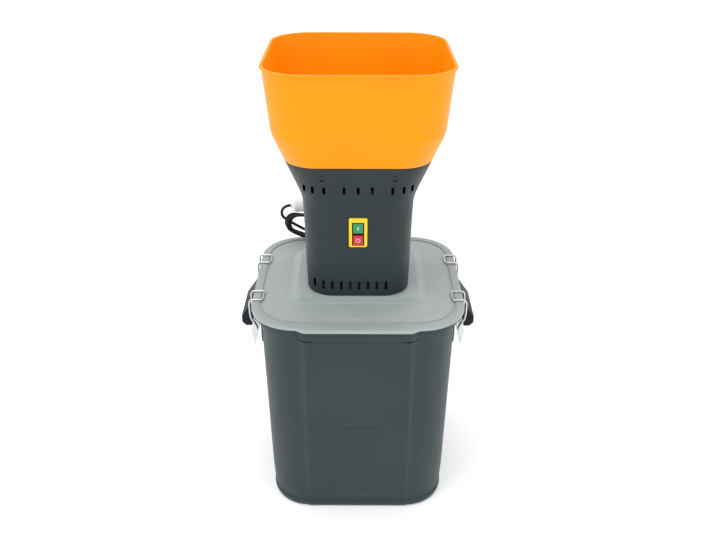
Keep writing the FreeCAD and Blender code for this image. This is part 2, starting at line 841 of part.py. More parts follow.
def motor_housing():
    """The tall housing: a tapered shell that flares out under the hopper."""
    body = new_body("motor_housing")
    foot, waist, top = platform_top, S.housing_waist, S.housing_top
    wall = S.housing_wall
    loft(body, [plan(body, foot, HOUSING_FOOT), plan(body, waist, HOUSING_WAIST)])
    loft(body, [plan(body, waist, HOUSING_WAIST), plan(body, top, HOUSING_TOP)])
    loft(body, [plan(body, foot, HOUSING_FOOT, wall), plan(body, waist, HOUSING_WAIST, wall)],
         removes=True)
    loft(body, [plan(body, waist, HOUSING_WAIST, wall), plan(body, top, HOUSING_TOP, wall)],
         removes=True)
    pad(body, four_circles(sketch(body, "XY", foot), S.boss_radius, boss_x, boss_y),
        S.boss_height)
    pocket(body, four_circles(sketch(body, "XY", foot), S.screw_radius, boss_x, boss_y),
           S.boss_height - wall, back=True)
    vent = rounded(sketch(body, "XZ"), S.vent_width, S.vent_height, S.vent_width * 0.49,
                   S.vent_first, S.vent_low + S.vent_height / 2)
    slot = pocket(body, vent, 2 * S.housing_depth, both=True)
    linear(body, slot, "H_Axis", S.vent_pitch, S.vent_count)
    upper = sketch(body, "XZ")
    for x in (0, S.upper_vent_pitch, S.upper_vent_side, S.upper_vent_outer,
              S.upper_vent_corner):
        for side in ((-1, 1) if x else (1,)):
            rounded(upper, S.upper_vent_width, S.upper_vent_height, S.upper_vent_width * 0.49,
                    side * x, S.upper_vent_low + S.upper_vent_height / 2)
    pocket(body, upper, 2 * S.housing_top_depth, both=True)
    recess = sketch(body, "XZ")
    for side in (-1, 1):
        rounded(recess, S.recess_width, S.recess_height, S.recess_width * 0.49,
                side * S.recess_side, S.recess_level)
    pocket(body, recess, 2 * S.housing_top_depth, both=True)
    front = sketch(body, "XZ", wall_face)
    rectangle(front, -switch_cut_half, switch_cut_half, switch_body_low - S.fit_gap,
              switch_body_high + S.fit_gap)
    pocket(body, front, 2 * wall)
    rear = circle(sketch(body, "XZ", -wall_face), S.gland_radius, S.gland_x, S.gland_z)
    pocket(body, rear, 2 * wall, back=True)
    return keep(body)


def screw(name, radius, head, base, length, head_height):
    """A round-headed screw that points up from its head at base."""
    x, y, z = base
    return fuse(name, [rod(name + "_shank", radius, (x, y, z), length),
                       rod(name + "_head", head, (x, y, z - head_height), head_height)])


def housing_screws():
    """Four screws from under the platform into the housing's bosses."""
    under = platform_top - S.lid_skin
    length = S.lid_skin + S.boss_height - 2 * S.housing_wall
    return keep(group("housing_screws", [
        screw(f"housing_screw_{index}", S.screw_radius, S.screw_head,
              (boss_x * side, boss_y * row, under), length, S.screw_head_height)
        for index, (side, row) in enumerate(QUARTERS)]))


def inset_outline(outline, inset):
    width, depth, corner = outline
    return width - 2 * inset, depth - 2 * inset, corner - inset


def between(low, high, share):
    """The outline part of the way from one outline to another."""
    return tuple(start + (end - start) * share for start, end in zip(low, high))


flare = S.housing_top - S.housing_waist
skirt_low = S.housing_top - S.hopper_skirt
SKIRT_LOW = between(HOUSING_WAIST, HOUSING_TOP, 1 - S.hopper_skirt / flare)
skirt_inset = S.housing_wall + S.fit_gap
gate_half = S.outlet / 2 + S.chute_wall
gate_low = S.outlet_level - S.fit_gap - S.gate_thickness
rail_face = gate_half + S.fit_gap
lip_high = gate_low - S.fit_gap
rail_low = lip_high - S.chute_wall
chute_outer_width = S.chute_width + 2 * S.chute_wall
chute_outer_depth = S.chute_depth + 2 * S.chute_wall


def hopper():
    """The hopper: a skirt inside the housing's flare, a lower band, a tall upper band, a lip."""
    body = new_body("hopper")
    wall = S.hopper_wall
    seam, brim = S.housing_top, S.hopper_top
    top_inset = S.hopper_lip
    loft(body, [plan(body, skirt_low, SKIRT_LOW, skirt_inset),
                plan(body, seam, HOUSING_TOP, skirt_inset)])
    loft(body, [plan(body, seam, HOUSING_TOP), plan(body, S.hopper_break, HOPPER_BREAK)])
    loft(body, [plan(body, S.hopper_break, HOPPER_BREAK), plan(body, brim, HOPPER_TOP, top_inset)])
    pad(body, plan(body, brim - S.hopper_lip_height, HOPPER_TOP), S.hopper_lip_height)
    loft(body, [plan(body, skirt_low, SKIRT_LOW, skirt_inset + wall),
                plan(body, seam, HOUSING_TOP, skirt_inset + wall)], removes=True)
    loft(body, [plan(body, seam, HOUSING_TOP, skirt_inset + wall),
                plan(body, S.hopper_break, HOPPER_BREAK, wall)], removes=True)
    loft(body, [plan(body, S.hopper_break, HOPPER_BREAK, wall),
                plan(body, brim, HOPPER_TOP, top_inset + wall)], removes=True)
    slot = rectangle(sketch(body, "XZ", -S.hopper_break_depth / 2), -rail_face, rail_face,
                     gate_low - S.fit_gap, S.outlet_level)
    pocket(body, slot, S.hopper_break_depth / 4, back=True)
    holes = sketch(body, "XZ")
    for side in (-1, 1):
        circle(holes, S.screw_radius, S.recess_side * side, S.recess_level)
    pocket(body, holes, S.housing_top_depth, both=True)
    return keep(body)


def hopper_screws():
    """Screws in the flare's recesses, through the housing's wall and into the hopper's skirt."""
    items = []
    share = (S.recess_level - S.housing_waist) / flare
    face = S.housing_depth / 2 + (S.housing_top_depth - S.housing_depth) / 2 * share
    length = S.housing_wall + 2 * S.hopper_wall
    head = S.screw_head_height / 2
    for side in (-1, 1):
        for row in (-1, 1):
            mark = f"{side + 1}{row + 1}"
            x = S.recess_side * side
            base = -face if row < 0 else face - length
            head_base = S.fit_gap - face if row < 0 else face - S.fit_gap - head
            items.append(fuse("hopper_screw_" + mark, [
                rod("hopper_shank_" + mark, S.screw_radius, (x, base, S.recess_level),
                    length, "Y"),
                rod("hopper_head_" + mark, S.recess_width / 2 - S.fit_gap,
                    (x, head_base, S.recess_level), head, "Y")]))
    return keep(group("hopper_screws", items))


def hopper_floor():
    """The funnel that closes the hopper below, with the rails that guide the feed gate."""
    body = new_body("hopper_floor")
    top = S.hopper_break - S.hopper_wall
    share = (top - S.housing_top) / (S.hopper_break - S.housing_top)
    seam_inner = inset_outline(HOUSING_TOP, skirt_inset + S.hopper_wall)
    break_inner = inset_outline(HOPPER_BREAK, S.hopper_wall)
    rim = inset_outline(between(seam_inner, break_inner, share), S.fit_gap)
    flange = S.funnel_wall
    neck = S.outlet + 2 * S.funnel_wall
    mouth = S.outlet_level + S.funnel_wall
    pad(body, plan(body, top - flange, rim, flange / 2), flange)
    loft(body, [rounded(sketch(body, "XY", S.outlet_level), neck, neck, 2 * S.funnel_wall),
                plan(body, top - flange, rim, flange / 2)])
    for side in (-1, 1):
        near, far = rail_face * side, (rail_face + S.rail_width) * side
        lip = (rail_face - S.rail_lip) * side
        pad(body, polygon(sketch(body, "XZ", -S.outlet), [
            (near, mouth), (far, mouth), (far, rail_low), (lip, rail_low),
            (lip, lip_high), (near, lip_high)]), 2 * S.outlet - S.rail_lip * 4)
    loft(body, [rounded(sketch(body, "XY", mouth), S.outlet, S.outlet, S.funnel_wall),
                plan(body, top, rim, S.funnel_wall * 2)], removes=True)
    pocket(body, rounded(sketch(body, "XY", mouth), S.outlet, S.outlet, S.funnel_wall),
           2 * S.funnel_wall)
    return keep(body)


def feed_gate():
    """The slide plate under the hopper's outlet, with a finger tab behind the hopper."""
    rear = S.hopper_break_depth / 2
    tab = rear + S.gate_tab_reach / 4
    start = -S.outlet / 2 - S.gate_overlap
    level_top = gate_low + S.gate_thickness
    return keep(fuse("feed_gate", [
        block("gate_plate", (-gate_half, start, gate_low), (gate_half, tab, level_top)),
        block("gate_tab", (-gate_half, tab - S.gate_thickness, gate_low),
              (gate_half, tab, gate_low + S.gate_tab_height))]))


def feed_chute():
    """The duct that leads the grain from the gate past the motor into the chamber."""
    body = new_body("feed_chute")
    top = rail_low
    under = top - S.chute_flange_thickness
    skin = 2 * S.chute_wall
    pad(body, rounded(sketch(body, "XY", under), S.chute_flange, S.chute_flange, S.rail_width),
        S.chute_flange_thickness)
    loft(body, [rounded(sketch(body, "XY", S.chute_bend), chute_outer_width, chute_outer_depth,
                        S.chute_wall * 2, 0, S.chute_axis),
                rounded(sketch(body, "XY", under), S.outlet + skin, S.outlet + skin,
                        S.chute_wall * 2)])
    foot = plate_low + S.plate_thickness
    pad(body, rounded(sketch(body, "XY", foot), chute_outer_width, chute_outer_depth,
                      S.chute_wall * 2, 0, S.chute_axis), S.chute_bend - foot)
    pocket(body, rounded(sketch(body, "XY", top), S.outlet, S.outlet, S.chute_wall),
           S.chute_flange_thickness)
    loft(body, [rounded(sketch(body, "XY", S.chute_bend), S.chute_width, S.chute_depth,
                        S.chute_wall, 0, S.chute_axis),
                rounded(sketch(body, "XY", under), S.outlet, S.outlet, S.chute_wall)],
         removes=True)
    pocket(body, rounded(sketch(body, "XY", S.chute_bend), S.chute_width, S.chute_depth,
                         S.chute_wall, 0, S.chute_axis), S.chute_bend - foot)
    return keep(body)


def chamber():
    """The grinding chamber under the lid: two plates, a sieve ring and the studs between."""
    plate = new_body("chamber_top_plate")
    top = sketch(plate, "XY", plate_low)
    circle(top, S.plate_radius)
    circle(top, S.seal_radius)
    four_circles(top, S.stud_radius, stud_offset, stud_offset)
    rounded(top, S.chute_width, S.chute_depth, S.chute_wall, 0, S.chute_axis)
    pad(plate, top, S.plate_thickness)
    keep(plate)
    bottom = new_body("chamber_bottom_plate")
    disc = circle(sketch(bottom, "XY", bottom_plate_low), S.plate_radius)
    four_circles(disc, S.stud_radius, stud_offset, stud_offset)
    pad(bottom, disc, S.plate_thickness)
    keep(bottom)
    keep(ring("shaft_seal", S.seal_radius, S.shaft_radius + S.fit_gap, (0, 0, plate_low),
              platform_top - plate_low))
    sieve_ring()
    nut_top = platform_top + S.bracket_thickness
    stud_low = bottom_plate_low - S.nut_height - S.stud_radius
    stud_high = nut_top + S.nut_height + S.stud_radius
    studs, nuts, wings = [], [], []
    for index, (side, row) in enumerate(QUARTERS):
        x, y = stud_offset * side, stud_offset * row
        studs.append(rod(f"stud_{index}", S.stud_radius, (x, y, stud_low), stud_high - stud_low))
        nuts.append(hex_nut(f"stud_nut_{index}", (x, y, nut_top)))
        wings.append(wing_nut(f"wing_nut_{index}", (x, y, bottom_plate_low - S.nut_height)))
    keep(group("chamber_studs", studs))
    keep(group("stud_nuts", nuts))
    keep(group("wing_nuts", wings))


def hex_nut(name, base):
    prism = doc.addObject("Part::Prism", name + "_blank")
    prism.Polygon = 6
    bind(prism, "Circumradius", S.nut_radius)
    bind(prism, "Height", S.nut_height)
    place(prism, base)
    return cut(name, prism, [rod(name + "_bore", S.stud_radius, base, S.nut_height)])


def wing_nut(name, base):
    """A wing nut under the bottom plate, with two upright wings."""
    x, y, z = base
    thick = S.stud_radius / 2
    hub = fuse(name + "_blank", [
        rod(name + "_hub", S.nut_radius, base, S.nut_height),
        block(name + "_wings", (x - S.wing_span / 2, y - thick, z - S.wing_height / 2),
              (x + S.wing_span / 2, y + thick, z + S.wing_height / 2))])
    return cut(name, hub, [rod(name + "_bore", S.stud_radius, (x, y, z - S.wing_height),
                               2 * S.wing_height)])


def turned_copies(name, item, count):
    """The same object set round the vertical axis, count times."""
    copies = []
    for index in range(count):
        copy = group(f"{name}_{index}", [item])
        copy.Placement = FreeCAD.Placement(Vector(), Rotation(Vector(0, 0, 1), 360 * index / count))
        copies.append(copy)
    return copies


def whole(size):
    """A count from the sheet as a whole number."""
    return int(round(amount_of(size)))


def sieve_ring():
    """Perforated sheet round the chamber, with rows of round holes."""
    wall_ring = ring("sieve_sheet", S.sieve_radius, S.sieve_radius - S.sieve_wall,
                     (0, 0, sieve_low), S.sieve_height)
    rows = whole(S.sieve_hole_rows)
    start = S.sieve_radius - 2 * S.sieve_wall
    column = group("sieve_column", [
        rod(f"sieve_hole_{index}", S.sieve_hole_radius,
            (start, 0, sieve_low + S.sieve_height * (index + 1) / (rows + 1)),
            3 * S.sieve_wall, "X") for index in range(rows)])
    holes = group("sieve_holes", turned_copies("sieve_turn", column, whole(S.sieve_hole_count)))
    return keep(cut("sieve_ring", wall_ring, [holes]))


def arms(name, width, reach, low, thickness):
    """Two crossing bars on the diagonals."""
    bar = block(name + "_bar", (-reach, -width / 2, low), (reach, width / 2, low + thickness))
    turned_bars = []
    for index, angle in enumerate((45, -45)):
        arm = group(f"{name}_{index}", [bar])
        arm.Placement = FreeCAD.Placement(Vector(), Rotation(Vector(0, 0, 1), angle))
        turned_bars.append(arm)
    return turned_bars


def four_rods(name, radius, x, y, low, length):
    return [rod(f"{name}_{index}", radius, (x * side, y * row, low), length)
            for index, (side, row) in enumerate(QUARTERS)]


post_x = S.post_offset
stator_high = S.stator_low + S.stator_height
upper_plate_low = S.upper_bearing_level + S.upper_bearing_width - S.bracket_thickness
brush_start = S.commutator_radius + 4 * S.brush_gap
brush_end = brush_start + S.brush_length
brush_case = S.brush_half + S.brush_box_wall


def motor_brackets():
    """The cast brackets below and above the motor, each with a bearing seat."""
    low = platform_top
    plate_top = low + S.bracket_thickness
    seat_top = S.lower_bearing_level + S.lower_bearing_width
    boss = S.lower_bearing_radius + S.bracket_thickness
    arm_width = 3 * S.bracket_thickness
    blank = fuse("lower_bracket_blank", [
        rod("lower_bracket_disc", S.bracket_radius, (0, 0, low), S.bracket_thickness),
        rod("lower_bracket_boss", boss, (0, 0, low), seat_top - low)]
        + arms("lower_arm", arm_width, S.stud_ring + S.nut_radius, low, S.bracket_thickness)
        + four_rods("lower_post", S.post_radius, post_x, post_x, low, S.stator_low - low))
    keep(cut("lower_motor_bracket", blank, [
        rod("lower_seat", S.lower_bearing_radius, (0, 0, S.lower_bearing_level),
            2 * S.lower_bearing_width),
        rod("lower_shaft_hole", S.shaft_radius + S.bearing_shell / 2, (0, 0, low - 1),
            2 * S.lower_bearing_width)]
        + four_rods("lower_stud_hole", S.stud_radius, stud_offset, stud_offset, low - 1,
                    S.bracket_thickness + 2)
        + four_rods("lower_screw_hole", S.screw_radius, post_x, post_x, plate_top,
                    S.stator_low - plate_top + 1)))
    top = upper_plate_low + S.bracket_thickness
    rim = S.upper_bearing_radius + S.bracket_thickness / 2
    blank = fuse("upper_bracket_blank", [
        rod("upper_bracket_boss", rim, (0, 0, S.upper_bearing_level),
            S.upper_bearing_width + S.bracket_thickness / 2)]
        + arms("upper_arm", arm_width * 0.8, post_x * math.sqrt(2) + S.post_radius,
               upper_plate_low, S.bracket_thickness)
        + [block("upper_cross", (-brush_end, -brush_case, upper_plate_low),
                 (brush_end, brush_case, top))]
        + four_rods("upper_post", S.post_radius, post_x, post_x, stator_high,
                    top - stator_high))
    keep(cut("upper_motor_bracket", blank, [
        rod("upper_seat", S.upper_bearing_radius,
            (0, 0, S.upper_bearing_level - S.upper_bearing_width), 2 * S.upper_bearing_width)]
        + four_rods("upper_screw_hole", S.screw_radius, post_x, post_x, stator_high - 1,
                    top - stator_high + 2)))
    length = top - plate_top
    keep(group("motor_screws", [
        fuse(f"motor_screw_{index}", [
            rod(f"motor_shank_{index}", S.screw_radius,
                (post_x * side, post_x * row, plate_top), length),
            rod(f"motor_head_{index}", S.screw_head, (post_x * side, post_x * row, top),
                S.screw_head_height)])
        for index, (side, row) in enumerate(QUARTERS)]))


def stator():
    """The laminated field frame and its two coils."""
    half = S.stator_half
    low = S.stator_low
    blank = block("stator_blank", (-half, -half, low), (half, half, stator_high))
    reach = S.coil_half + S.air_gap / 4
    inner = S.coil_half - S.coil_band - S.air_gap / 4
    far = S.coil_inner + S.coil_thickness + S.air_gap / 4
    near = S.coil_inner - S.air_gap / 4
    windows = []
    for index, (side, row) in enumerate(QUARTERS):
        x_low = near if side > 0 else -far
        y_low = inner if row > 0 else -reach
        windows.append(block(f"stator_window_{index}", (x_low, y_low, low - 1),
                             (x_low + (far - near), y_low + (reach - inner), stator_high + 1)))
    keep(cut("stator_core", blank, [
        rod("stator_bore", S.armature_radius + S.air_gap, (0, 0, low - 1),
            S.stator_height + 2)] + windows
        + four_rods("stator_hole", S.screw_radius + S.fit_gap, post_x, post_x, low - 1,
                    S.stator_height + 2)))
    coils = []
    for side in (-1, 1):
        mark = "left" if side < 0 else "right"
        x_low = S.coil_inner if side > 0 else -S.coil_inner - S.coil_thickness
        outside = block(f"coil_{mark}_outside", (x_low, -S.coil_half, low - S.coil_overhang),
                        (x_low + S.coil_thickness, S.coil_half, stator_high + S.coil_overhang))
        pole = S.coil_half - S.coil_band
        opening = block(f"coil_{mark}_opening", (x_low - 1, -pole, low),
                        (x_low + S.coil_thickness + 1, pole, stator_high))
        coils.append(cut(f"coil_{mark}", outside, [opening]))
    keep(group("field_coils", coils))


def brushes():
    """Brass boxes under the upper bracket and the carbon brushes in them."""
    boxes, carbons = [], []
    half, case, length = S.brush_half, brush_case, S.brush_length
    tip = S.commutator_radius + S.brush_gap
    for side in (-1, 1):
        mark = "left" if side < 0 else "right"
        low = brush_start if side > 0 else -brush_end
        foot = brush_end - length / 2 if side > 0 else -brush_end
        box = fuse(f"brush_box_{mark}", [
            block(f"brush_case_{mark}", (low, -case, S.brush_level - case),
                  (low + length, case, S.brush_level + case)),
            block(f"brush_foot_{mark}", (foot, -half, S.brush_level),
                  (foot + length / 2, half, upper_plate_low))])
        bore = block(f"brush_bore_{mark}", (low - 1, -half, S.brush_level - half),
                     (low + length + 1, half, S.brush_level + half))
        boxes.append(cut(f"brush_holder_{mark}", box, [bore]))
        rest = tip if side > 0 else -tip - length
        carbons.append(block(f"carbon_{mark}", (rest, -half, S.brush_level - half),
                             (rest + length, half, S.brush_level + half)))
    keep(group("brush_holders", boxes))
    keep(group("carbon_brushes", carbons))


def bearings():
    """The shaft's two ball bearings: outer rings in the brackets, inner rings on the shaft."""
    outers, inners, balls = [], [], []
    for mark, outer, inner, level, width in (
            ("lower", S.lower_bearing_radius, S.shaft_radius, S.lower_bearing_level,
             S.lower_bearing_width),
            ("upper", S.upper_bearing_radius, S.journal_radius, S.upper_bearing_level,
             S.upper_bearing_width)):
        shell = S.bearing_shell * 0.8
        outers.append(ring(f"{mark}_outer_ring", outer, outer - shell, (0, 0, level), width))
        inners.append(ring(f"{mark}_inner_ring", inner + shell, inner, (0, 0, level), width))
        radius = (outer - inner - 2 * shell - S.fit_gap) / 2
        ball = doc.addObject("Part::Sphere", f"{mark}_ball")
        bind(ball, "Radius", radius)
        place(ball, (inner + shell + radius, 0, level + width / 2))
        balls += turned_copies(f"{mark}_balls", ball, 8)
    keep(group("bearing_outer_rings", outers))
    keep(group("bearing_inner_rings", inners))
    keep(group("bearing_balls", balls))


def rotor():
    """Everything that spins: shaft, armature, commutator, fan, knife and its nut."""
    shoulder = S.knife_level + S.knife_thickness
    tip = sieve_low + S.stud_radius
    top = S.upper_bearing_level + S.upper_bearing_width
    collar = S.upper_bearing_level - 1
    keep(turned("motor_shaft", [
        (0, tip), (S.thread_radius, tip), (S.thread_radius, shoulder), (S.shaft_radius, shoulder),
        (S.shaft_radius, collar), (S.journal_radius, collar), (S.journal_radius, top), (0, top)]))
    core = ring("armature_blank", S.armature_radius, S.shaft_radius, (0, 0, S.stator_low),
                S.stator_height)
    slot = block("armature_slot", (S.armature_radius - 6, -1, S.stator_low - 1),
                 (S.armature_radius + 1, 1, stator_high + 1))
    keep(cut("armature_core", core, [group("armature_slots",
                                           turned_copies("armature_cut", slot, 12))]))
    ends = [ring("winding_low", S.winding_radius, S.shaft_radius,
                 (0, 0, S.stator_low - S.winding_overhang), S.winding_overhang),
            ring("winding_high", S.winding_radius, S.shaft_radius, (0, 0, stator_high),
                 S.winding_overhang)]
    keep(group("armature_windings", ends))
    keep(ring("commutator", S.commutator_radius, S.shaft_radius, (0, 0, S.commutator_low),
              S.commutator_height))
    fan_disc = rod("fan_disc", S.fan_radius, (0, 0, S.fan_level), 2)
    hub = rod("fan_hub", S.commutator_radius, (0, 0, S.fan_level), S.fan_height)
    blade = block("fan_blade", (S.commutator_radius - 1, -1, S.fan_level + 1),
                  (S.fan_radius - 1, 1, S.fan_level + S.fan_height))
    blank = fuse("fan_blank", [fan_disc, hub]
                 + turned_copies("fan_blades", blade, whole(S.fan_blades)))
    keep(cut("cooling_fan", blank, [rod("fan_bore", S.shaft_radius, (0, 0, S.fan_level - 1),
                                        S.fan_height + 2)]))
    knife()


def knife():
    """A flat two-ended knife with bevelled leading edges, and the nut that clamps it."""
    body = new_body("knife")
    half, side = S.knife_length / 2, S.knife_width / 2
    item = polygon(sketch(body, "XY", S.knife_level), [
        (-half, -side), (half - side, -side), (half, side / 2), (half, side),
        (side - half, side), (-half, -side / 2)])
    circle(item, S.thread_radius)
    pad(body, item, S.knife_thickness)
    keep(body)
    nut_low = S.knife_level - S.nut_height
    blank = doc.addObject("Part::Prism", "knife_nut_blank")
    blank.Polygon = 6
    bind(blank, "Circumradius", S.nut_radius * 2)
    bind(blank, "Height", S.nut_height)
    place(blank, (0, 0, nut_low))
    keep(cut("knife_nut", blank, [rod("knife_nut_bore", S.thread_radius, (0, 0, nut_low - 1),
                                      S.nut_height + 2)]))


def capacitor():
    """The interference capacitor that stands beside the motor."""
    x = -(S.bracket_radius + S.housing_foot_width / 2) / 2
    return keep(rod("capacitor", S.capacitor_radius, (x, 0, platform_top), S.capacitor_length))


switch_body_low = S.well_low - S.brush_box_wall
switch_body_high = S.well_high + S.brush_box_wall
switch_cut_half = S.body_half_width + S.fit_gap


def switch():
    """The start and stop switch: yellow plate, black body with a well, two push buttons."""
    plate = new_body("switch_plate")
    middle = (S.switch_low + S.switch_high) / 2
    outline = rounded(sketch(plate, "XZ", wall_face), 2 * S.switch_half_width,
                      S.switch_high - S.switch_low, S.switch_plate, 0, middle)
    rectangle(outline, -S.well_half_width, S.well_half_width, S.well_low, S.well_high)
    pad(plate, outline, S.switch_plate)
    keep(plate)
    body = new_body("switch_body")
    case = rectangle(sketch(body, "XZ", wall_face), -S.body_half_width, S.body_half_width,
                     switch_body_low, switch_body_high)
    pad(body, case, S.body_depth, back=True)
    well = rectangle(sketch(body, "XZ", wall_face), -S.well_half_width, S.well_half_width,
                     S.well_low, S.well_high)
    pocket(body, well, S.well_depth)
    stems = sketch(body, "XZ", wall_face)
    for low in (S.red_low, S.green_low):
        circle(stems, S.stem_radius + S.fit_gap, 0, low + S.button_height / 2)
    pocket(body, stems, S.well_depth + S.stem_length + S.button_travel)
    keep(body)
    button("green_button", S.green_low)
    button("red_button", S.red_low)


def button(name, low):
    """A push button whose stem slides in the switch body."""
    body = new_body(name)
    face = wall_face + S.switch_plate + S.button_proud
    middle = low + S.button_height / 2
    cap = rounded(sketch(body, "XZ", face), 2 * S.button_half_width, S.button_height,
                  S.button_proud * 2, 0, middle)
    pad(body, cap, S.button_thickness, back=True)
    stem = circle(sketch(body, "XZ", face - S.button_thickness), S.stem_radius, 0, middle)
    pad(body, stem, S.stem_length, back=True)
    return keep(body)


# The mains lead, from the gland to the top of the hank. Points are chosen by hand.
hank_low = field_top + S.fit_gap
hank_shelf = hank_low + S.hank_height
relief_end = wall_face.amount + amount_of(S.gland_flange_thickness + S.relief_length)
CORD_ROUTE = [
    (-22, relief_end, 575),
    (-22, 143, 573.5),
    (-22.8, 160, 563),
    (-24.2, 169.5, 545),
    (-25, 172, 520),
    (-25, 172, hank_shelf.amount),
]


def cable_gland():
    inner = -(S.housing_wall + 2 * S.gland_flange_thickness)
    flange_end = S.gland_flange_thickness
    tip = flange_end + S.relief_length
    return keep(turned("cable_gland", [
        (0, inner), (S.gland_flange - 1, inner), (S.gland_flange - 1, -S.housing_wall),
        (S.gland_radius, -S.housing_wall), (S.gland_radius, 0), (S.gland_flange, 0),
        (S.gland_flange, flange_end), (S.relief_root, flange_end), (S.relief_tip, tip),
        (0, tip)], (S.gland_x, wall_face, S.gland_z), "Y"))


def cord_path(route):
    """Straight runs joined by tangent arcs, each as large as its two runs allow."""
    points = [Vector(*point) for point in route]
    edges = []
    start = points[0]
    for before, corner, after in zip(points, points[1:], points[2:]):
        coming = corner - before
        going = after - corner
        half_turn = coming.getAngle(going) / 2
        shorter = min(coming.Length, going.Length)
        trim = 0.45 * shorter
        radius = trim / math.tan(half_turn)
        coming.normalize()
        going.normalize()
        first, last = corner - coming * trim, corner + going * trim
        inward = going - coming
        inward.normalize()
        middle = corner + inward * (radius / math.cos(half_turn) - radius)
        edges.append(Part.LineSegment(start, first).toShape())
        edges.append(Part.Arc(first, middle, last).toShape())
        print(f"cord bend radius {radius:.1f} mm over a turn of {math.degrees(2 * half_turn):.0f}")
        start = last
    edges.append(Part.LineSegment(start, points[-1]).toShape())
    return Part.Wire(edges)


def power_cord():
    path = cord_path(CORD_ROUTE)
    radius = amount_of(S.cord_diameter) / 2
    start = Vector(*CORD_ROUTE[0])
    heading = Vector(*CORD_ROUTE[1]) - start
    profile = Part.Wire([Part.Circle(start, heading, radius).toShape()])
    solid = path.makePipeShell([profile], True, False)
    item = doc.addObject("Part::Feature", "power_cord")
    item.Shape = solid
    item.Placement = FreeCAD.Placement()
    expected = math.pi * radius ** 2 * path.Length
    print(f"cord volume {solid.Volume:.0f} against {expected:.0f}, length {path.Length:.1f}")
    return keep(item)


def cord_hank():
    """The outer shape of the lead, wound up and stood on the lid behind the housing."""
    body = new_body("cord_hank")
    left, right, low, shelf = S.hank_left, S.hank_right, hank_low, hank_shelf
    horn = shelf + S.hank_horn
    half = (shelf - low) / 2
    pad(body, polygon(sketch(body, "XZ"), [
        (right - half / 2, low), (right, low + half / 2), (right, shelf - half / 2),
        (right - half / 2, shelf), (S.plug_tail_x, shelf), (S.plug_tail_x, horn),
        (left + half / 4, horn - half / 4), (left, shelf), (left, shelf - half / 2),
        (left + half / 2, low + half / 2), (left + 1.6 * half, low)]),
        S.hank_thickness, both=True)
    return keep(place(body, (0, S.hank_y, 0)))


def plug():
    """The plug on the hank: a tapered tail, a round body and two round pins."""
    axis_z = hank_shelf + S.plug_radius + S.fit_gap / 3
    base = (S.plug_tail_x, S.hank_y, axis_z)
    shoulder = S.plug_tail + S.relief_tip
    end = S.plug_tail + S.plug_length
    keep(turned("plug_body", [
        (0, 0), (S.relief_tip, 0), (S.relief_root, S.plug_tail), (S.plug_radius, shoulder),
        (S.plug_radius, end), (0, end)], base, "X"))
    pins = []
    for index, side in enumerate((-1, 1)):
        y = S.hank_y + S.pin_spacing / 2 * side
        pins.append(rod(f"plug_pin_{index}", S.pin_radius, (S.plug_tail_x + end, y, axis_z),
                        S.pin_length, "X"))
    keep(group("plug_pins", pins))


bin_shell()
bin_handle("bin_handle_left", -1)
bin_handle("bin_handle_right", 1)
handle_screws()
latches()
lid()
lid_gasket()
motor_housing()
housing_screws()
hopper()
hopper_screws()
hopper_floor()
feed_gate()
feed_chute()
chamber()
motor_brackets()
stator()
brushes()
bearings()
rotor()
capacitor()
switch()
cable_gland()
power_cord()
cord_hank()
plug()
doc.recompute()

# Nothing is written unless every object and every sub-part is sound.
faults = [f"{item.Name}: {item.State}" for item in doc.Objects
          if {"Invalid", "Error"} & set(item.State)]
for item in nodes:
    if item.Shape.isNull() or not item.Shape.isValid() or not item.Shape.Solids:
        faults.append(f"{item.Label}: shape not sound")
if faults:
    raise SystemExit("\n".join(faults))

os.makedirs("parts", exist_ok=True)
for item in nodes:
    item.Shape.exportStep(f"parts/{item.Label}.step")
    box = item.Shape.BoundBox
    print(f"{item.Label}: {len(item.Shape.Solids)} solids, volume {item.Shape.Volume / 1000:.1f} cm3,"
          f" x {box.XMin:.1f} {box.XMax:.1f}, y {box.YMin:.1f} {box.YMax:.1f},"
          f" z {box.ZMin:.1f} {box.ZMax:.1f}")
print(len(nodes), "sub-parts")
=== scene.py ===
"""Electric grain mill: its looks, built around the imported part.

Shapes are written in millimetres until a mesh is made, so they match the part's source. The
camera, the lights and the first part of the lead's route are in metres.
"""
import bmesh
import bpy
import json
import math
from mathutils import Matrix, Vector


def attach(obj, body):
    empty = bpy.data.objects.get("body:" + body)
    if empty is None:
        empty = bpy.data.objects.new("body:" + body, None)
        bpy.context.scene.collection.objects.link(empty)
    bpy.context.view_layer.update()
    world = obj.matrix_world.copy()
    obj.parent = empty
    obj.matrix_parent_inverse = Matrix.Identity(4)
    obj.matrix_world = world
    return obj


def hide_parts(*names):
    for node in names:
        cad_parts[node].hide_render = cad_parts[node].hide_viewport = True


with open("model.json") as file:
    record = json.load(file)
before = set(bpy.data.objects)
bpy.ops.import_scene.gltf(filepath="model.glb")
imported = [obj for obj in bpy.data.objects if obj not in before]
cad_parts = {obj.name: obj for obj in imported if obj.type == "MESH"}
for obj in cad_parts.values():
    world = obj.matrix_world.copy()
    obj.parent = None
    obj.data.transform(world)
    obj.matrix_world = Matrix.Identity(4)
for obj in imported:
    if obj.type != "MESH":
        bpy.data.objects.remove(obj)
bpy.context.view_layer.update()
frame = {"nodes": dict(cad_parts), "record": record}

MM = 0.001

# Camera: where the photograph was taken from
CAMERA_PLACE = (0, -1.4174, 1.1919)
CAMERA_TILT = math.radians(62.2)
CAMERA_ROLL = math.radians(0.16)
CAMERA_LENS = 40.66
SENSOR_WIDTH = 36

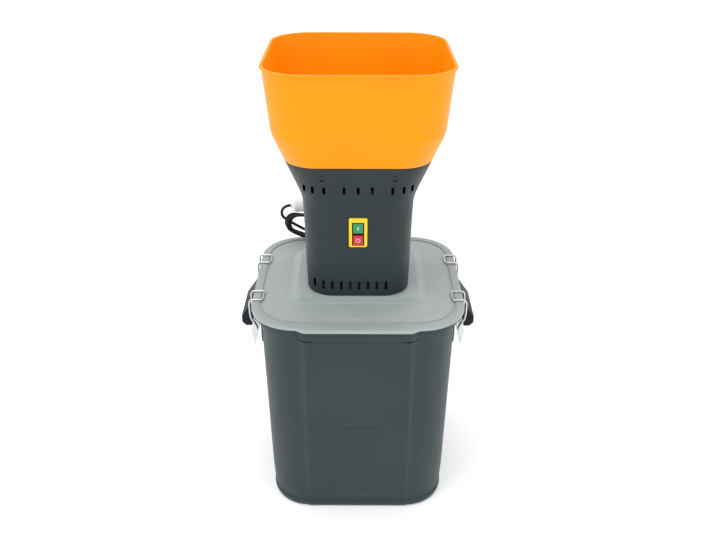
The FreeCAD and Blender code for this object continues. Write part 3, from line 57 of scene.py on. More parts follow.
# The mains lead's route from the gland to the top of its hank, as in the part's source
CORD_ROUTE = [
    (-0.022, 0.124, 0.575),
    (-0.022, 0.143, 0.5735),
    (-0.0228, 0.160, 0.563),
    (-0.0242, 0.1695, 0.545),
    (-0.025, 0.172, 0.520),
    (-0.025, 0.172, 0.4943),
]
CORD_DIAMETER = 6.5
LANES = (162.1, 168.7, 175.3, 181.9)
PLUG_TAIL = (-143, 172, 509.4)


def add_camera():
    data = bpy.data.cameras.new("camera")
    data.sensor_width = SENSOR_WIDTH
    data.lens = CAMERA_LENS
    data.clip_start = 0.05
    camera = bpy.data.objects.new("camera", data)
    camera.location = CAMERA_PLACE
    camera.rotation_mode = "ZXY"
    camera.rotation_euler = (CAMERA_TILT, 0, CAMERA_ROLL)
    bpy.context.scene.collection.objects.link(camera)
    bpy.context.scene.camera = camera


def bend(x, z, radius, start, end, count):
    """Control points round a bend of the lead, from one angle to another, in degrees."""
    step = math.radians((end - start) / count)
    reach = radius / math.cos(step / 2)
    angles = [math.radians(start) + step * (index + 0.5) for index in range(count)]
    return [(x + reach * math.cos(angle), z + reach * math.sin(angle)) for angle in angles]


def hank_points():
    """The wound-up lead: three turns side by side, then a run that rises into the plug."""
    points = [(-15.6, 171.3, 480), (-8.6, 168.5, 464.5)]
    entry = bend(-29.4, 454.9, 21, 0, -90, 3)
    points += [(x, y, z) for (x, z), y in zip(entry, (165.0, 162.9, LANES[0]))]
    low, high = 433.9, 487
    right = bend(-42, 460, 26, 90, -90, 6)
    # For each turn: the middle of its left bend and the level where its top run starts
    turns = ((-131, 469, 494), (-126, 467.5, 487), (-135, 468.5, 483))
    for (left, middle, top), lane, after in zip(turns, LANES, LANES[1:]):
        run = [(-60, low), (-92, low + 0.6), (-113, low + 5)]
        run += bend(left, middle, 20.4, 240, 84, 5)
        run += [(-104, top), (-66, high)]
        points += [(x, lane, z) for x, z in run]
        for index, (x, z) in enumerate(right):
            share = (index + 0.5) / len(right)
            points.append((x, lane + (after - lane) * share, z))
    last_run = [(-62, low), (-86, low + 2.5), (-108, low + 10.5), (-126, 454)]
    points += [(x, LANES[-1], z) for x, z in last_run]
    rise = bend(-143.5, 488.6, 20.8, 232, 90, 5)
    points += [(x, y, z) for (x, z), y in zip(rise, (181.5, 180, 177, 173.5, 172.2))]
    inside_plug = 3
    points.append((PLUG_TAIL[0] + inside_plug, *PLUG_TAIL[1:]))
    return points


def add_cord(finish, body):
    """The lead as one smooth curve, from the gland's tip to the plug's tail."""
    curve = bpy.data.curves.new("mains_lead", "CURVE")
    curve.dimensions = "3D"
    curve.resolution_u = 6
    curve.bevel_depth = CORD_DIAMETER * MM / 2
    curve.bevel_resolution = 5
    curve.use_fill_caps = True
    route = CORD_ROUTE + [tuple(part * MM for part in point) for point in hank_points()]
    spline = curve.splines.new("NURBS")
    spline.points.add(len(route) - 1)
    for point, place in zip(spline.points, route):
        point.co = (*place, 1)
    spline.order_u = 3
    spline.use_endpoint_u = True
    curve.materials.append(finish.material)
    lead = bpy.data.objects.new("mains_lead", curve)
    bpy.context.scene.collection.objects.link(lead)
    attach(lead, body)
    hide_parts("power_cord", "cord_hank")
    return lead


# Materials

def paint(red, green, blue):
    """A colour from its three screen values, 0 to 255."""
    levels = [value / 255 for value in (red, green, blue)]
    lit = [v / 12.92 if v <= 0.04045 else ((v + 0.055) / 1.055) ** 2.4 for v in levels]
    return (*lit, 1)


def shade(colour, factor):
    return (*[min(part * factor, 1) for part in colour[:3]], 1)


class Wire:
    """A value from a shader node. Sums with it add Math nodes to its material."""

    def __init__(self, finish, socket):
        self.finish = finish
        self.socket = socket

    def maths(self, operation, first, second):
        made = self.finish.node("Math", {"operation": operation}, {0: first, 1: second})
        return Wire(self.finish, made.outputs[0])

    def __add__(self, other):
        return self.maths("ADD", self, other)

    def __radd__(self, other):
        return self.maths("ADD", other, self)

    def __sub__(self, other):
        return self.maths("SUBTRACT", self, other)

    def __rsub__(self, other):
        return self.maths("SUBTRACT", other, self)

    def __mul__(self, other):
        return self.maths("MULTIPLY", self, other)

    def __rmul__(self, other):
        return self.maths("MULTIPLY", other, self)

    def rise(self, low, high):
        """0 below low, 1 above high and smooth between them."""
        made = self.finish.node("MapRange", {"interpolation_type": "SMOOTHSTEP"},
                                {"Value": self, "From Min": low, "From Max": high})
        return Wire(self.finish, made.outputs[0])


class Finish:
    """A material on one shader, with the noises and mixes that its surface needs."""

    def __init__(self, name, constants):
        self.name = name
        self.material = bpy.data.materials.new(name)
        self.material.use_nodes = True
        self.tree = self.material.node_tree
        self.shader = self.tree.nodes["Principled BSDF"]
        for socket, value in constants.items():
            self.feed(self.shader.inputs[socket], value)
        self.place = Wire(self, self.node("TexCoord").outputs["Object"])

    def feed(self, socket, value):
        if isinstance(value, Wire):
            self.tree.links.new(value.socket, socket)
        else:
            socket.default_value = value

    def node(self, kind, settings=None, sockets=None):
        made = self.tree.nodes.new("ShaderNode" + kind)
        for name, value in (settings or {}).items():
            setattr(made, name, value)
        for name, value in (sockets or {}).items():
            self.feed(made.inputs[name], value)
        return made

    def stretched(self, scale):
        made = self.node("Mapping", None, {"Vector": self.place, "Scale": scale})
        return Wire(self, made.outputs[0])

    def noise(self, scale, detail, stretch=None):
        place = self.stretched(stretch) if stretch else self.place
        made = self.node("TexNoise", None, {"Vector": place, "Scale": scale, "Detail": detail})
        return Wire(self, made.outputs[0])

    def cells(self, scale):
        made = self.node("TexVoronoi", None, {"Vector": self.place, "Scale": scale})
        return Wire(self, made.outputs["Distance"])

    def bands(self, scale, distortion):
        """Level bands, one above the other."""
        made = self.node("TexWave", {"bands_direction": "Z"},
                         {"Vector": self.place, "Scale": scale, "Distortion": distortion})
        return Wire(self, made.outputs["Fac"])

    def mix(self, factor, first, second):
        made = self.node("Mix", {"data_type": "RGBA"}, {0: factor, 6: first, 7: second})
        return Wire(self, made.outputs[2])

    def dress(self, colour, roughness, height, depth, metallic=None):
        """Feeds the shader: depth is the height's full range, in millimetres."""
        self.feed(self.shader.inputs["Base Color"], colour)
        self.feed(self.shader.inputs["Roughness"], roughness)
        if metallic is not None:
            self.feed(self.shader.inputs["Metallic"], metallic)
        made = self.node("Bump", None, {"Height": height, "Distance": depth * MM,
                                        "Strength": 1.0})
        self.feed(self.shader.inputs["Normal"], Wire(self, made.outputs[0]))
        return self


def moulded(name, colour, roughness, grain, scuffs, spread=0.08, specular=0.5, grain_size=0.8):
    """Moulded plastic: a fine spark-eroded grain, a cloudy tint and light handling marks.

    The grain is its depth and grain_size its width, in millimetres.
    """
    finish = Finish(name, {"Specular IOR Level": specular})
    cloud = finish.noise(7, 3)
    speck = finish.noise(1000 / grain_size, 2)
    patch = finish.noise(38, 4)
    scratch = finish.noise(60, 3, (1, 1, 9))
    mark = scratch.rise(0.63, 0.74) * patch.rise(0.5, 0.7) * scuffs
    tint = cloud.rise(0.3, 0.7) * 0.7 + speck * 0.3
    base = finish.mix(tint, shade(colour, 1 - spread), shade(colour, 1 + spread))
    worn = finish.mix(mark, base, shade(colour, 1.5))
    rough = roughness + (patch - 0.5) * 0.12 + (speck - 0.5) * 0.08 + mark * 0.12
    height = speck * 0.8 + cloud * 0.2 - mark * 0.2
    return finish.dress(worn, rough, height, grain)


def metal(name, colour, roughness, brush, dirt, depth=0.02):
    """Metal with fine lines along one way, duller patches and a little grime."""
    finish = Finish(name, {"Metallic": 1.0})
    line = finish.noise(260, 3, brush)
    patch = finish.noise(45, 4)
    grime = patch.rise(0.55, 0.75) * dirt
    bright = finish.mix(line, shade(colour, 0.82), shade(colour, 1.12))
    base = finish.mix(grime, bright, shade(colour, 0.35))
    rough = roughness + (line - 0.5) * 0.2 + grime * 0.5
    return finish.dress(base, rough, line, depth, 1.0 - grime * 0.5)


def cast(name, colour, roughness):
    """Cast metal: a sandy skin with small pits."""
    finish = Finish(name, {"Metallic": 0.9})
    sand = finish.noise(900, 3)
    pit = finish.cells(420)
    base = finish.mix(sand, shade(colour, 0.75), shade(colour, 1.1))
    return finish.dress(base, roughness + sand * 0.15, sand * 0.6 + pit * 0.4, 0.15)


def banded(name, light, dark, count, roughness, metallic, depth=0.2, wobble=0.3):
    """Stacked sheets or wound wire: even bands that stand side by side."""
    finish = Finish(name, {"Metallic": metallic})
    band = finish.bands(count, wobble)
    speck = finish.noise(300, 2)
    base = finish.mix(band * 0.8 + speck * 0.2, dark, light)
    return finish.dress(base, roughness + (1 - band) * 0.15 + speck * 0.08, band, depth)


def rubber(name, colour, roughness, spread=0.15):
    """A dull skin with a faint bloom."""
    finish = Finish(name, {"Specular IOR Level": 0.4})
    bloom = finish.noise(30, 4)
    speck = finish.noise(800, 2)
    base = finish.mix(bloom.rise(0.35, 0.7), shade(colour, 1 - spread), shade(colour, 1 + spread))
    return finish.dress(base, roughness + (bloom - 0.5) * 0.2 + speck * 0.06, speck, 0.05)


def make_finishes():
    """One finish for each material slot, by its name."""
    steel = (0.60, 0.61, 0.62, 1)
    core_light, core_dark = (0.34, 0.34, 0.35, 1), (0.10, 0.10, 0.11, 1)
    copper_light, copper_dark = (0.78, 0.30, 0.12, 1), (0.24, 0.07, 0.03, 1)
    finishes = (
        moulded("bin_plastic", paint(39, 54, 56), 0.46, 0.06, 0.35, 0.10, 0.35),
        moulded("handle_plastic", paint(34, 37, 43), 0.5, 0.05, 0.3, 0.2, 0.1),
        metal("latch_steel", (0.62, 0.645, 0.66, 1), 0.3, (1, 1, 14), 0.15),
        metal("screw_steel", steel, 0.34, (1, 1, 1), 0.3),
        moulded("lid_plastic", paint(163, 172, 171), 0.42, 0.14, 0.25, 0.05, 0.5, 1.1),
        rubber("seal_rubber", paint(20, 20, 21), 0.7),
        moulded("housing_plastic", paint(34, 45, 48), 0.45, 0.06, 0.3, 0.10, 0.35),
        moulded("hopper_plastic", paint(250, 156, 0), 0.38, 0.03, 0.15, 0.03, 0.18),
        metal("gate_steel", steel, 0.30, (1, 14, 1), 0.35),
        moulded("chute_plastic", paint(52, 54, 56), 0.5, 0.05, 0.3),
        metal("chamber_steel", steel, 0.36, (12, 1, 1), 0.4),
        metal("sieve_steel", steel, 0.32, (1, 1, 8), 0.45),
        cast("cast_aluminium", (0.55, 0.56, 0.57, 1), 0.5),
        banded("core_steel", core_light, core_dark, 320, 0.42, 0.9),
        banded("copper_wire", copper_light, copper_dark, 210, 0.28, 0.85, 0.3, 1.2),
        metal("brush_brass", (0.72, 0.52, 0.22, 1), 0.32, (1, 8, 1), 0.3),
        rubber("carbon", paint(24, 24, 26), 0.62, 0.3),
        metal("bearing_steel", (0.74, 0.75, 0.77, 1), 0.14, (1, 1, 12), 0.1),
        moulded("fan_plastic", paint(30, 30, 32), 0.45, 0.05, 0.2),
        metal("knife_steel", (0.70, 0.71, 0.73, 1), 0.22, (14, 1, 1), 0.3, 0.03),
        moulded("switch_yellow", paint(246, 214, 20), 0.36, 0.03, 0.1, 0.04),
        moulded("switch_black", paint(16, 16, 17), 0.4, 0.04, 0.2, 0.15),
        moulded("button_green", paint(40, 148, 96), 0.32, 0.02, 0.1, 0.05),
        moulded("button_red", paint(206, 40, 56), 0.32, 0.02, 0.1, 0.05),
        rubber("gland_rubber", paint(18, 18, 19), 0.6),
        rubber("cord_rubber", paint(15, 15, 16), 0.46),
        moulded("plug_grey", paint(236, 237, 236), 0.42, 0.04, 0.2, 0.04),
        metal("pin_brass", (0.80, 0.74, 0.62, 1), 0.22, (10, 1, 1), 0.15),
        moulded("capacitor_case", paint(190, 176, 40), 0.4, 0.03, 0.15),
    )
    return {finish.name: finish for finish in finishes}


FINISHES = make_finishes()
WHITE_INK = moulded("white_ink", paint(206, 212, 206), 0.4, 0.01, 0.1, 0.03)


# Meshes

class Form:
    """Points and faces of one piece, made of one or more closed skins."""

    def __init__(self):
        self.points = []
        self.faces = []

    def add(self, skin):
        points, faces = skin
        start = len(self.points)
        self.points += [tuple(point) for point in points]
        self.faces += [tuple(start + corner for corner in face) for face in faces]
        return self

    def mesh(self, name, finish):
        data = bpy.data.meshes.new(name)
        data.from_pydata([tuple(part * MM for part in point) for point in self.points], [],
                         self.faces)
        edit = bmesh.new()
        edit.from_mesh(data)
        bmesh.ops.recalc_face_normals(edit, faces=edit.faces)
        edit.to_mesh(data)
        edit.free()
        data.materials.append(finish.material)
        item = bpy.data.objects.new(name, data)
        bpy.context.scene.collection.objects.link(item)
        return item


def carve(item, cutter_form, finish):
    """Cuts the closed skins of a form out of a piece."""
    cutter = cutter_form.mesh("cutter", finish)
    change = item.modifiers.new("cut", "BOOLEAN")
    change.operation = "DIFFERENCE"
    change.solver = "EXACT"
    change.object = cutter
    graph = bpy.context.evaluated_depsgraph_get()
    result = bpy.data.meshes.new_from_object(item.evaluated_get(graph))
    item.modifiers.clear()
    item.data = result
    result.materials.clear()
    result.materials.append(finish.material)
    for face in result.polygons:
        face.material_index = 0
    bpy.data.objects.remove(cutter)


def settle(item, body, replaced=(), sharp=32):
    """Smooth shading up to an angle, then the piece goes with its body."""
    item.data.shade_smooth()
    item.data.set_sharp_from_angle(angle=math.radians(sharp))
    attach(item, body)
    if replaced:
        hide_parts(*replaced)


def loft(rings, closed=False):
    """A skin over rings with the same number of points. Closed joins the last to the first."""
    count = len(rings[0])
    points = [point for ring in rings for point in ring]
    rows = len(rings)
    faces = []
    for row in range(rows if closed else rows - 1):
        here, there = row * count, (row + 1) % rows * count
        for index in range(count):
            after = (index + 1) % count
            faces.append((here + index, here + after, there + after, there + index))
    if not closed:
        faces.append(tuple(reversed(range(count))))
        faces.append(tuple(range(len(points) - count, len(points))))
    return points, faces


# Points on a quarter outline: round its corner, then round the edge of its panel
QUARTER_ARC = 15
QUARTER_SHOULDER = 5
FLAT_HALF = 97
PANEL_ROUND = 5


def quarter_round(outline, inset):
    """The back right quarter of a rounded rectangle."""
    width, depth, corner = outline
    radius = corner - inset
    count = QUARTER_ARC + QUARTER_SHOULDER
    angles = [math.pi / 2 * index / (count - 1) for index in range(count)]
    return [(width / 2 - corner + radius * math.cos(angle),
             depth / 2 - corner + radius * math.sin(angle)) for angle in angles]


def quarter_panelled(outline, inset, proud, chamfer, bead=0.0):
    """The same with a flat panel that stands proud of the front and back, softly rounded.

    A bead lifts the panel's edge a little above its face.
    """
    width, depth, corner = outline
    radius = corner - inset
    x, y = width / 2 - corner, depth / 2 - corner
    half = FLAT_HALF - inset / 2
    face = depth / 2 + proud - inset
    stop = math.acos((half + chamfer - x) / radius)
    angles = [stop * index / (QUARTER_ARC - 1) for index in range(QUARTER_ARC)]
    points = [(x + radius * math.cos(angle), y + radius * math.sin(angle)) for angle in angles]
    valley = points[-1]
    slope = math.dist(valley, (half, face))
    near = min(0.6, PANEL_ROUND / slope)
    start = [edge + (valley[axis] - edge) * near for axis, edge in enumerate((half, face))]
    end = (half - near * slope - 2 * bead, face)
    top = (half, face + bead)
    for index in range(QUARTER_SHOULDER):
        t = index / (QUARTER_SHOULDER - 1)
        points.append(tuple(start[axis] * (1 - t) ** 2 + top[axis] * 2 * t * (1 - t)
                            + end[axis] * t ** 2 for axis in (0, 1)))
    return points


def whole_ring(quarter, level):
    """All four quarters of an outline, at its level."""
    back = quarter + [(-x, y) for x, y in reversed(quarter)]
    front = [(-x, -y) for x, y in back]
    return [(x, y, level) for x, y in back + front]


def between(low, high, share):
    """An outline part of the way from one to another."""
    return tuple(start + (end - start) * share for start, end in zip(low, high))


def rounding(radius, steps=3):
    """How far each ring of a rounded edge lies below the edge and in from the wall."""
    angles = [math.pi / 2 * step / steps for step in range(steps + 1)]
    return [(radius * (1 - math.sin(angle)), radius * (1 - math.cos(angle))) for angle in angles]


def offset_corners(corners, inset):
    """A convex outline moved inwards by inset. Its corners run anticlockwise."""
    count = len(corners)
    lines = []
    for index in range(count):
        (ax, ay), (bx, by) = corners[index], corners[(index + 1) % count]
        length = math.dist((ax, ay), (bx, by))
        across = (-(by - ay) / length, (bx - ax) / length)
        lines.append(((ax + across[0] * inset, ay + across[1] * inset), (bx - ax, by - ay)))
    moved = []
    for index in range(count):
        (px, py), (dx, dy) = lines[index - 1]
        (qx, qy), (ex, ey) = lines[index]
        cross = dx * ey - dy * ex
        t = ((qx - px) * ey - (qy - py) * ex) / cross
        moved.append((px + dx * t, py + dy * t))
    return moved


def round_corner(before, here, after, radius, share, steps):
    """Points round a corner, which takes up at most this share of each line beside it."""
    coming, going = before - here, after - here
    half = coming.angle(going) / 2
    trim = min(radius / math.tan(half), share * coming.length, share * going.length)
    start, end = here + coming.normalized() * trim, here + going.normalized() * trim
    places = [step / steps for step in range(steps + 1)]
    return [start * (1 - t) ** 2 + here * (2 * t * (1 - t)) + end * t ** 2 for t in places]


def soft_outline(corners, radius, steps=5):
    """A convex outline with each corner rounded."""
    line = [Vector(corner) for corner in corners]
    points = []
    for before, here, after in zip(line[-1:] + line, line, line[1:] + line[:1]):
        points += round_corner(before, here, after, radius, 0.49, steps)
    return points


def prism(corners, radius, low, high, edge, place, high_edge=None):
    """A straight bar with a rounded outline and rounded ends. place(u, v, w) sets it."""
    high_edge = edge if high_edge is None else high_edge
    rings = []
    for sink, inset in reversed(rounding(edge) if edge else [(0, 0)]):
        rings.append((low + sink, inset))
    for sink, inset in rounding(high_edge) if high_edge else [(0, 0)]:
        rings.append((high - sink, inset))
    made = []
    for level, inset in rings:
        outline = soft_outline(offset_corners(corners, inset), max(radius - inset, 0.2))
        made.append([place(u, v, level) for u, v in outline])
    return loft(made)


def box_corners(x_low, x_high, y_low, y_high):
    return [(x_low, y_low), (x_high, y_low), (x_high, y_high), (x_low, y_high)]


def on_front(u, v, w):
    """Outlines in X and Z that grow towards the front."""
    return (u, -w, v)


def through(u, v, w):
    """Outlines in X and Z that grow towards the back."""
    return (u, w, v)


def on_side(side):
    """Outlines in Y and Z that grow outwards on one side."""
    return lambda u, v, w: (side * w, u, v)


def upright(u, v, w):
    """Outlines in X and Y that grow upwards."""
    return (u, v, w)


def turned(profile, base, axis="Z", steps=40):
    """A turned skin: the profile gives radius and distance along the axis."""
    x, y, z = base
    rings = []
    for radius, distance in profile:
        ring = []
        for step in range(steps):
            angle = 2 * math.pi * step / steps
            across, up = radius * math.cos(angle), radius * math.sin(angle)
            ring.append({"X": (x + distance, y + across, z + up),
                         "Y": (x + across, y + distance, z + up),
                         "Z": (x + across, y + up, z + distance)}[axis])
        rings.append(ring)
    return loft(rings)


def rod_along(points, radius, sides=12):
    """A round wire along a line of points."""
    line = [Vector(point) for point in points]
    rings = []
    across = None
    for index, here in enumerate(line):
        before, after = line[max(index - 1, 0)], line[min(index + 1, len(line) - 1)]
        way = (after - before).normalized()
        if across is None:
            across = way.orthogonal().normalized()
        across = (across - way * across.dot(way)).normalized()
        up = way.cross(across)
        rings.append([here + (across * math.cos(turn) + up * math.sin(turn)) * radius
                      for turn in (2 * math.pi * side / sides for side in range(sides))])
    return loft(rings)


def bent_line(points, radius, steps=6):
    """A line of points with each bend rounded."""
    line = [Vector(point) for point in points]
    result = [line[0]]
    for before, here, after in zip(line, line[1:], line[2:]):
        result += round_corner(before, here, after, radius, 0.45, steps)
    return result + [line[-1]]


# Width, depth and corner radius of the big shells, then their levels. They are those of the
# part's source, but for the foot's corner, which is smaller here.
FOOT = (344, 373, 76)
NECK = (368, 360, 86)
COLLAR = (384, 364, 92)
LID = (400, 380, 88)
HOUSING_FOOT = (192, 202, 50)
HOUSING_WAIST = (201, 202, 50)
HOUSING_TOP = (262, 252, 60)
HOPPER_BREAK = (301, 300, 68)
HOPPER_TOP = (327, 330, 75)
WALL = 3
COLLAR_LOW, BIN_TOP = 398, 418
LID_LOW, LID_TOP, FIELD_TOP, PLATFORM_TOP = 421, 428, 430, 443
WAIST_LEVEL, SEAM, BREAK_LEVEL, BRIM = 628, 704, 758, 873
# The flat of the housing's front and back at the switch and the gland
WALL_FACE = 101
GLAND_X, GLAND_LEVEL = -22, 575
SWITCH_HOLE = (-14.8, 14.8, 547, 596.3)
SCREW_X = 63
HANDLE_HALF = 54
LATCH_Y = 77
LATCH_PIN = (193.5, 378)
SIDES = {"left": -1, "right": 1}
ROWS = {"front": -1, "back": 1}
# The rounded foot and the ledge on top of it, as levels and insets
FOOT_ROLL = ((0, 5.5), (0.8, 3.6), (2.6, 2), (5.5, 0.8), (10, 0.2), (13.6, 0.2), (15, 0.8),
             (16.2, 1.9), (20, 2.1), (30, 1.2))


def bin_ring(level, inset=0.0):
    """The bin's outline. Its panel stands out and its bead swells from the foot upwards."""
    share = level / COLLAR_LOW
    outline = between(FOOT, NECK, share)
    proud, chamfer = between((1.5, 5), (10, 12), share)
    bead = 4.5 * min(level / 60, 1)
    return whole_ring(quarter_panelled(outline, inset, proud, chamfer, bead), level)


def collar_ring(level, inset=0.0):
    return whole_ring(quarter_panelled(COLLAR, inset, 10, 11), level)


def arch_skin(row):
    """The embossed panel low on the front or the back, with a bevelled edge."""
    half, low, high, slope, proud = 46, 30, 204, 10, 2.6
    face_at_foot, face_gain = 188, 2
    corners = [(-half, low), (half, low), (half, high - slope), (half - slope, high),
               (slope - half, high), (-half, high - slope)]

    def on_panel(u, v, w):
        return (u, row * (face_at_foot + face_gain * v / COLLAR_LOW + w), v)
    rings = []
    for height, inset in ((-1.5, 0), (0, 0), (0.4, 0.8), (proud - 0.4, 4), (proud, 5.6)):
        outline = soft_outline(offset_corners(corners, inset), 9, 7)
        rings.append([on_panel(u, v, height) for u, v in outline])
    return loft(rings)


def add_bin():
    rings = [bin_ring(3, 16), bin_ring(3, 14.5), bin_ring(0.8, 13.5), bin_ring(0, 12.5)]
    rings += [bin_ring(level, inset) for level, inset in FOOT_ROLL]
    rings += [bin_ring(level) for level in (60, 120, 180, 240, 300, 360, 394)]
    rings += [bin_ring(396.8, -0.4), bin_ring(COLLAR_LOW, -1.6)]
    rings += [collar_ring(COLLAR_LOW + sink, inset) for sink, inset in reversed(rounding(1.5))]
    rings += [collar_ring(BIN_TOP - sink, inset) for sink, inset in rounding(1.2)]
    rings += [collar_ring(BIN_TOP, 2), collar_ring(BIN_TOP - 1, WALL), collar_ring(402, WALL)]
    rings += [bin_ring(401, WALL), bin_ring(398, WALL + 0.3)]
    rings += [bin_ring(level, WALL) for level in (300, 200, 100, 14)]
    rings += [bin_ring(8, 5), bin_ring(6, 10)]
    form = Form().add(loft(rings))
    for row in ROWS.values():
        form.add(arch_skin(row))
    for side in SIDES.values():
        seat = box_corners(-HANDLE_HALF, HANDLE_HALF, 344, 399)
        form.add(prism(seat, 4, 150, 192, 0, on_side(side), 1.5))
        for row in ROWS.values():
            middle = LATCH_Y * row
            seat = box_corners(middle - 17, middle + 17, 336, 399)
            form.add(prism(seat, 4, 150, 186, 0, on_side(side), 1.5))
    item = form.mesh("bin", FINISHES["bin_plastic"])
    settle(item, "bin", ["bin_shell"])


def add_handle(mark):
    """A hood handle with ribs inside it."""
    side = SIDES[mark]
    hollow_half, rib_half = 50, 1.2
    outer = [(192, 347), (221, 347), (229, 355), (229, 368), (195.5, 416), (192, 416)]
    hollow = [(196.5, 340), (225, 340), (225, 366), (196.5, 407)]
    rib = [(196, 404), (200, 404), (226.5, 366), (226.5, 352), (224.5, 352), (196, 398)]

    def across(u, v, w):
        return (side * u, w, v)
    form = Form().add(prism(outer, 5, -HANDLE_HALF, HANDLE_HALF, 5, across))
    finish = FINISHES["handle_plastic"]
    item = form.mesh("handle_" + mark, finish)
    carve(item, Form().add(prism(hollow, 3, -hollow_half, hollow_half, 3, across)), finish)
    settle(item, "bin", ["bin_handle_" + mark], 40)
    ribs = Form()
    for place in (-36, -18, 0, 18, 36):
        ribs.add(prism(rib, 0.6, place - rib_half, place + rib_half, 0.3, across))
    ribs = ribs.mesh("handle_ribs_" + mark, finish)
    settle(ribs, "bin", sharp=40)


def add_lid():
    """The lid, from its hollow underneath round the rim and up to the platform."""
    finish = FINISHES["lid_plastic"]

    def rim(level, inset=0.0):
        return whole_ring(quarter_panelled(LID, inset, 10, 15), level)

    def plain(outline, level, inset=0.0):
        return whole_ring(quarter_round(outline, inset), level)
    field = (316, 324, 92)
    platform_foot, platform_top = (262, 214, 14), (232, 206, 14)
    hollow_foot, hollow_top = (254, 206, 10), (224, 198, 10)
    rings = [plain(hollow_top, 439, 3), plain(hollow_top, 438), plain(hollow_foot, 426),
             plain(hollow_foot, 424.3, -1), plain(LID, 424, 26), plain(LID, 423.6, 25),
             plain(LID, 421.4, 25), plain(LID, LID_LOW, 24.4)]
    rings += [rim(LID_LOW + sink, inset) for sink, inset in reversed(rounding(0.8))]
    rings += [rim(LID_TOP - sink, inset) for sink, inset in rounding(1.8, 4)]
    rings += [plain(LID, LID_TOP, 14.2), plain(LID, LID_TOP - 0.3, 15), plain(LID, 426, 15.6),
              plain(LID, 425.5, 16.6), plain(LID, 425.5, 19.4), plain(LID, 426, 20.4),
              plain(LID, LID_TOP - 0.3, 21), plain(LID, LID_TOP, 21.8)]
    rings += [plain(field, LID_TOP, -1.5), plain(field, LID_TOP + 0.3, -0.4),
              plain(field, FIELD_TOP - 0.5, 0.4), plain(field, FIELD_TOP, 1.8)]
    rings += [plain(platform_foot, FIELD_TOP, -2), plain(platform_foot, FIELD_TOP + 0.4, -0.6),
              plain(platform_foot, FIELD_TOP + 1.6, 0.9)]
    rings += [plain(between(platform_foot, platform_top, 0.86), 441.2),
              plain(platform_top, 442.4, -0.4), plain(platform_top, PLATFORM_TOP, 1.4)]
    item = Form().add(loft(rings)).mesh("lid_cover", finish)
    low, high = 425, 450
    shaft_hole, stud_hole, screw_hole = 13, 3.3, 2.5
    stud = 91 / math.sqrt(2)
    screw_x, screw_y = 76, 81
    chute_hole = box_corners(-22.3, 22.3, 51.7, 78.3)
    holes = Form().add(turned([(shaft_hole, low), (shaft_hole, high)], (0, 0, 0)))
    for side in (-1, 1):
        for row in (-1, 1):
            for radius, x, y in ((stud_hole, stud, stud), (screw_hole, screw_x, screw_y)):
                holes.add(turned([(radius, low), (radius, high)], (x * side, y * row, 0),
                                 steps=20))
    holes.add(prism(chute_hole, 2, low, high, 0, upright))
    carve(item, holes, finish)
    settle(item, "mill_head", ["lid"], 26)


def housing_ring(level, inset=0.0):
    """Its outline at a level: a slight taper, then a flare that starts softly at the waist."""
    softness = 0.14
    share = (level - WAIST_LEVEL) / (SEAM - WAIST_LEVEL)
    flare = (share + math.hypot(share, softness)) / (1 + math.hypot(1, softness))
    taper = min((level - PLATFORM_TOP) / (WAIST_LEVEL - PLATFORM_TOP), 1)
    base = between(HOUSING_FOOT, HOUSING_WAIST, taper)
    outline = tuple(part + (top - waist) * flare
                    for part, waist, top in zip(base, HOUSING_WAIST, HOUSING_TOP))
    return whole_ring(quarter_round(outline, inset), level)


def slot_corners(x, low, width, height):
    return box_corners(x - width / 2, x + width / 2, low, low + height)


def add_housing():
    """The housing with its slots, screw recesses, switch opening and gland hole."""
    finish = FINISHES["housing_plastic"]
    levels = [470, 520, 570, 595, 608, 616, 622, 627, 632, 638, 645, 654, 666, 680, 694]
    rings = [housing_ring(PLATFORM_TOP + sink, inset) for sink, inset in reversed(rounding(1.2))]
    rings += [housing_ring(level) for level in levels]
    rings += [housing_ring(SEAM - sink, inset) for sink, inset in rounding(1.4)]
    rings += [housing_ring(SEAM, WALL - 0.3), housing_ring(SEAM - 0.5, WALL)]
    rings += [housing_ring(level, WALL) for level in reversed(levels)]
    rings += [housing_ring(PLATFORM_TOP + 0.5, WALL), housing_ring(PLATFORM_TOP, WALL - 0.3)]
    item = Form().add(loft(rings, True)).mesh("housing", finish)
    holes = Form()
    lower_count, lower_first, lower_pitch = 9, -80.8, 16.6
    upper_places = (0, 24.5, 60, 80, 95)
    reach, upper_reach = 150, 160
    for index in range(lower_count):
        slot = slot_corners(lower_first + lower_pitch * index, 456, 5, 18)
        holes.add(prism(slot, 2.4, -reach, reach, 0, through))
    for x in upper_places:
        for side in ((-1, 1) if x else (1,)):
            slot = slot_corners(side * x, 650, 5, 16)
            holes.add(prism(slot, 2.4, -upper_reach, upper_reach, 0, through))
    for side in (-1, 1):
        recess = slot_corners(SCREW_X * side, 677.5, 8, 14)
        holes.add(prism(recess, 3.9, -upper_reach, upper_reach, 0, through))
    holes.add(prism(box_corners(*SWITCH_HOLE), 0.5, -110, -90, 0, through))
    gland_hole = 6.8
    holes.add(turned([(gland_hole, 90), (gland_hole, 110)], (GLAND_X, 0, GLAND_LEVEL), "Y"))
    carve(item, holes, finish)
    settle(item, "mill_head", ["motor_housing"], 30)
    add_recess_floors()


def add_recess_floors():
    """A near-black floor in each screw recess, along the slope of the flare: painted shade,
    darker than the housing's own plastic.
    """
    middle, middle_depth, slope = 684.5, 119.6, 25 / 76

    def on_slope(row):
        return lambda u, v, w: (u, row * (middle_depth + (v - middle) * slope + w), v)
    floors = Form()
    for side in (-1, 1):
        floor = slot_corners(SCREW_X * side, middle - 7.2, 8.4, 14.4)
        for row in (-1, 1):
            floors.add(prism(floor, 3.9, -3.2, -2.2, 0, on_slope(row)))
    # The switch's black plastic stands in for the shade inside the recesses: painted shade.
    floors = floors.mesh("recess_floors", FINISHES["switch_black"])
    settle(floors, "mill_head", sharp=30)


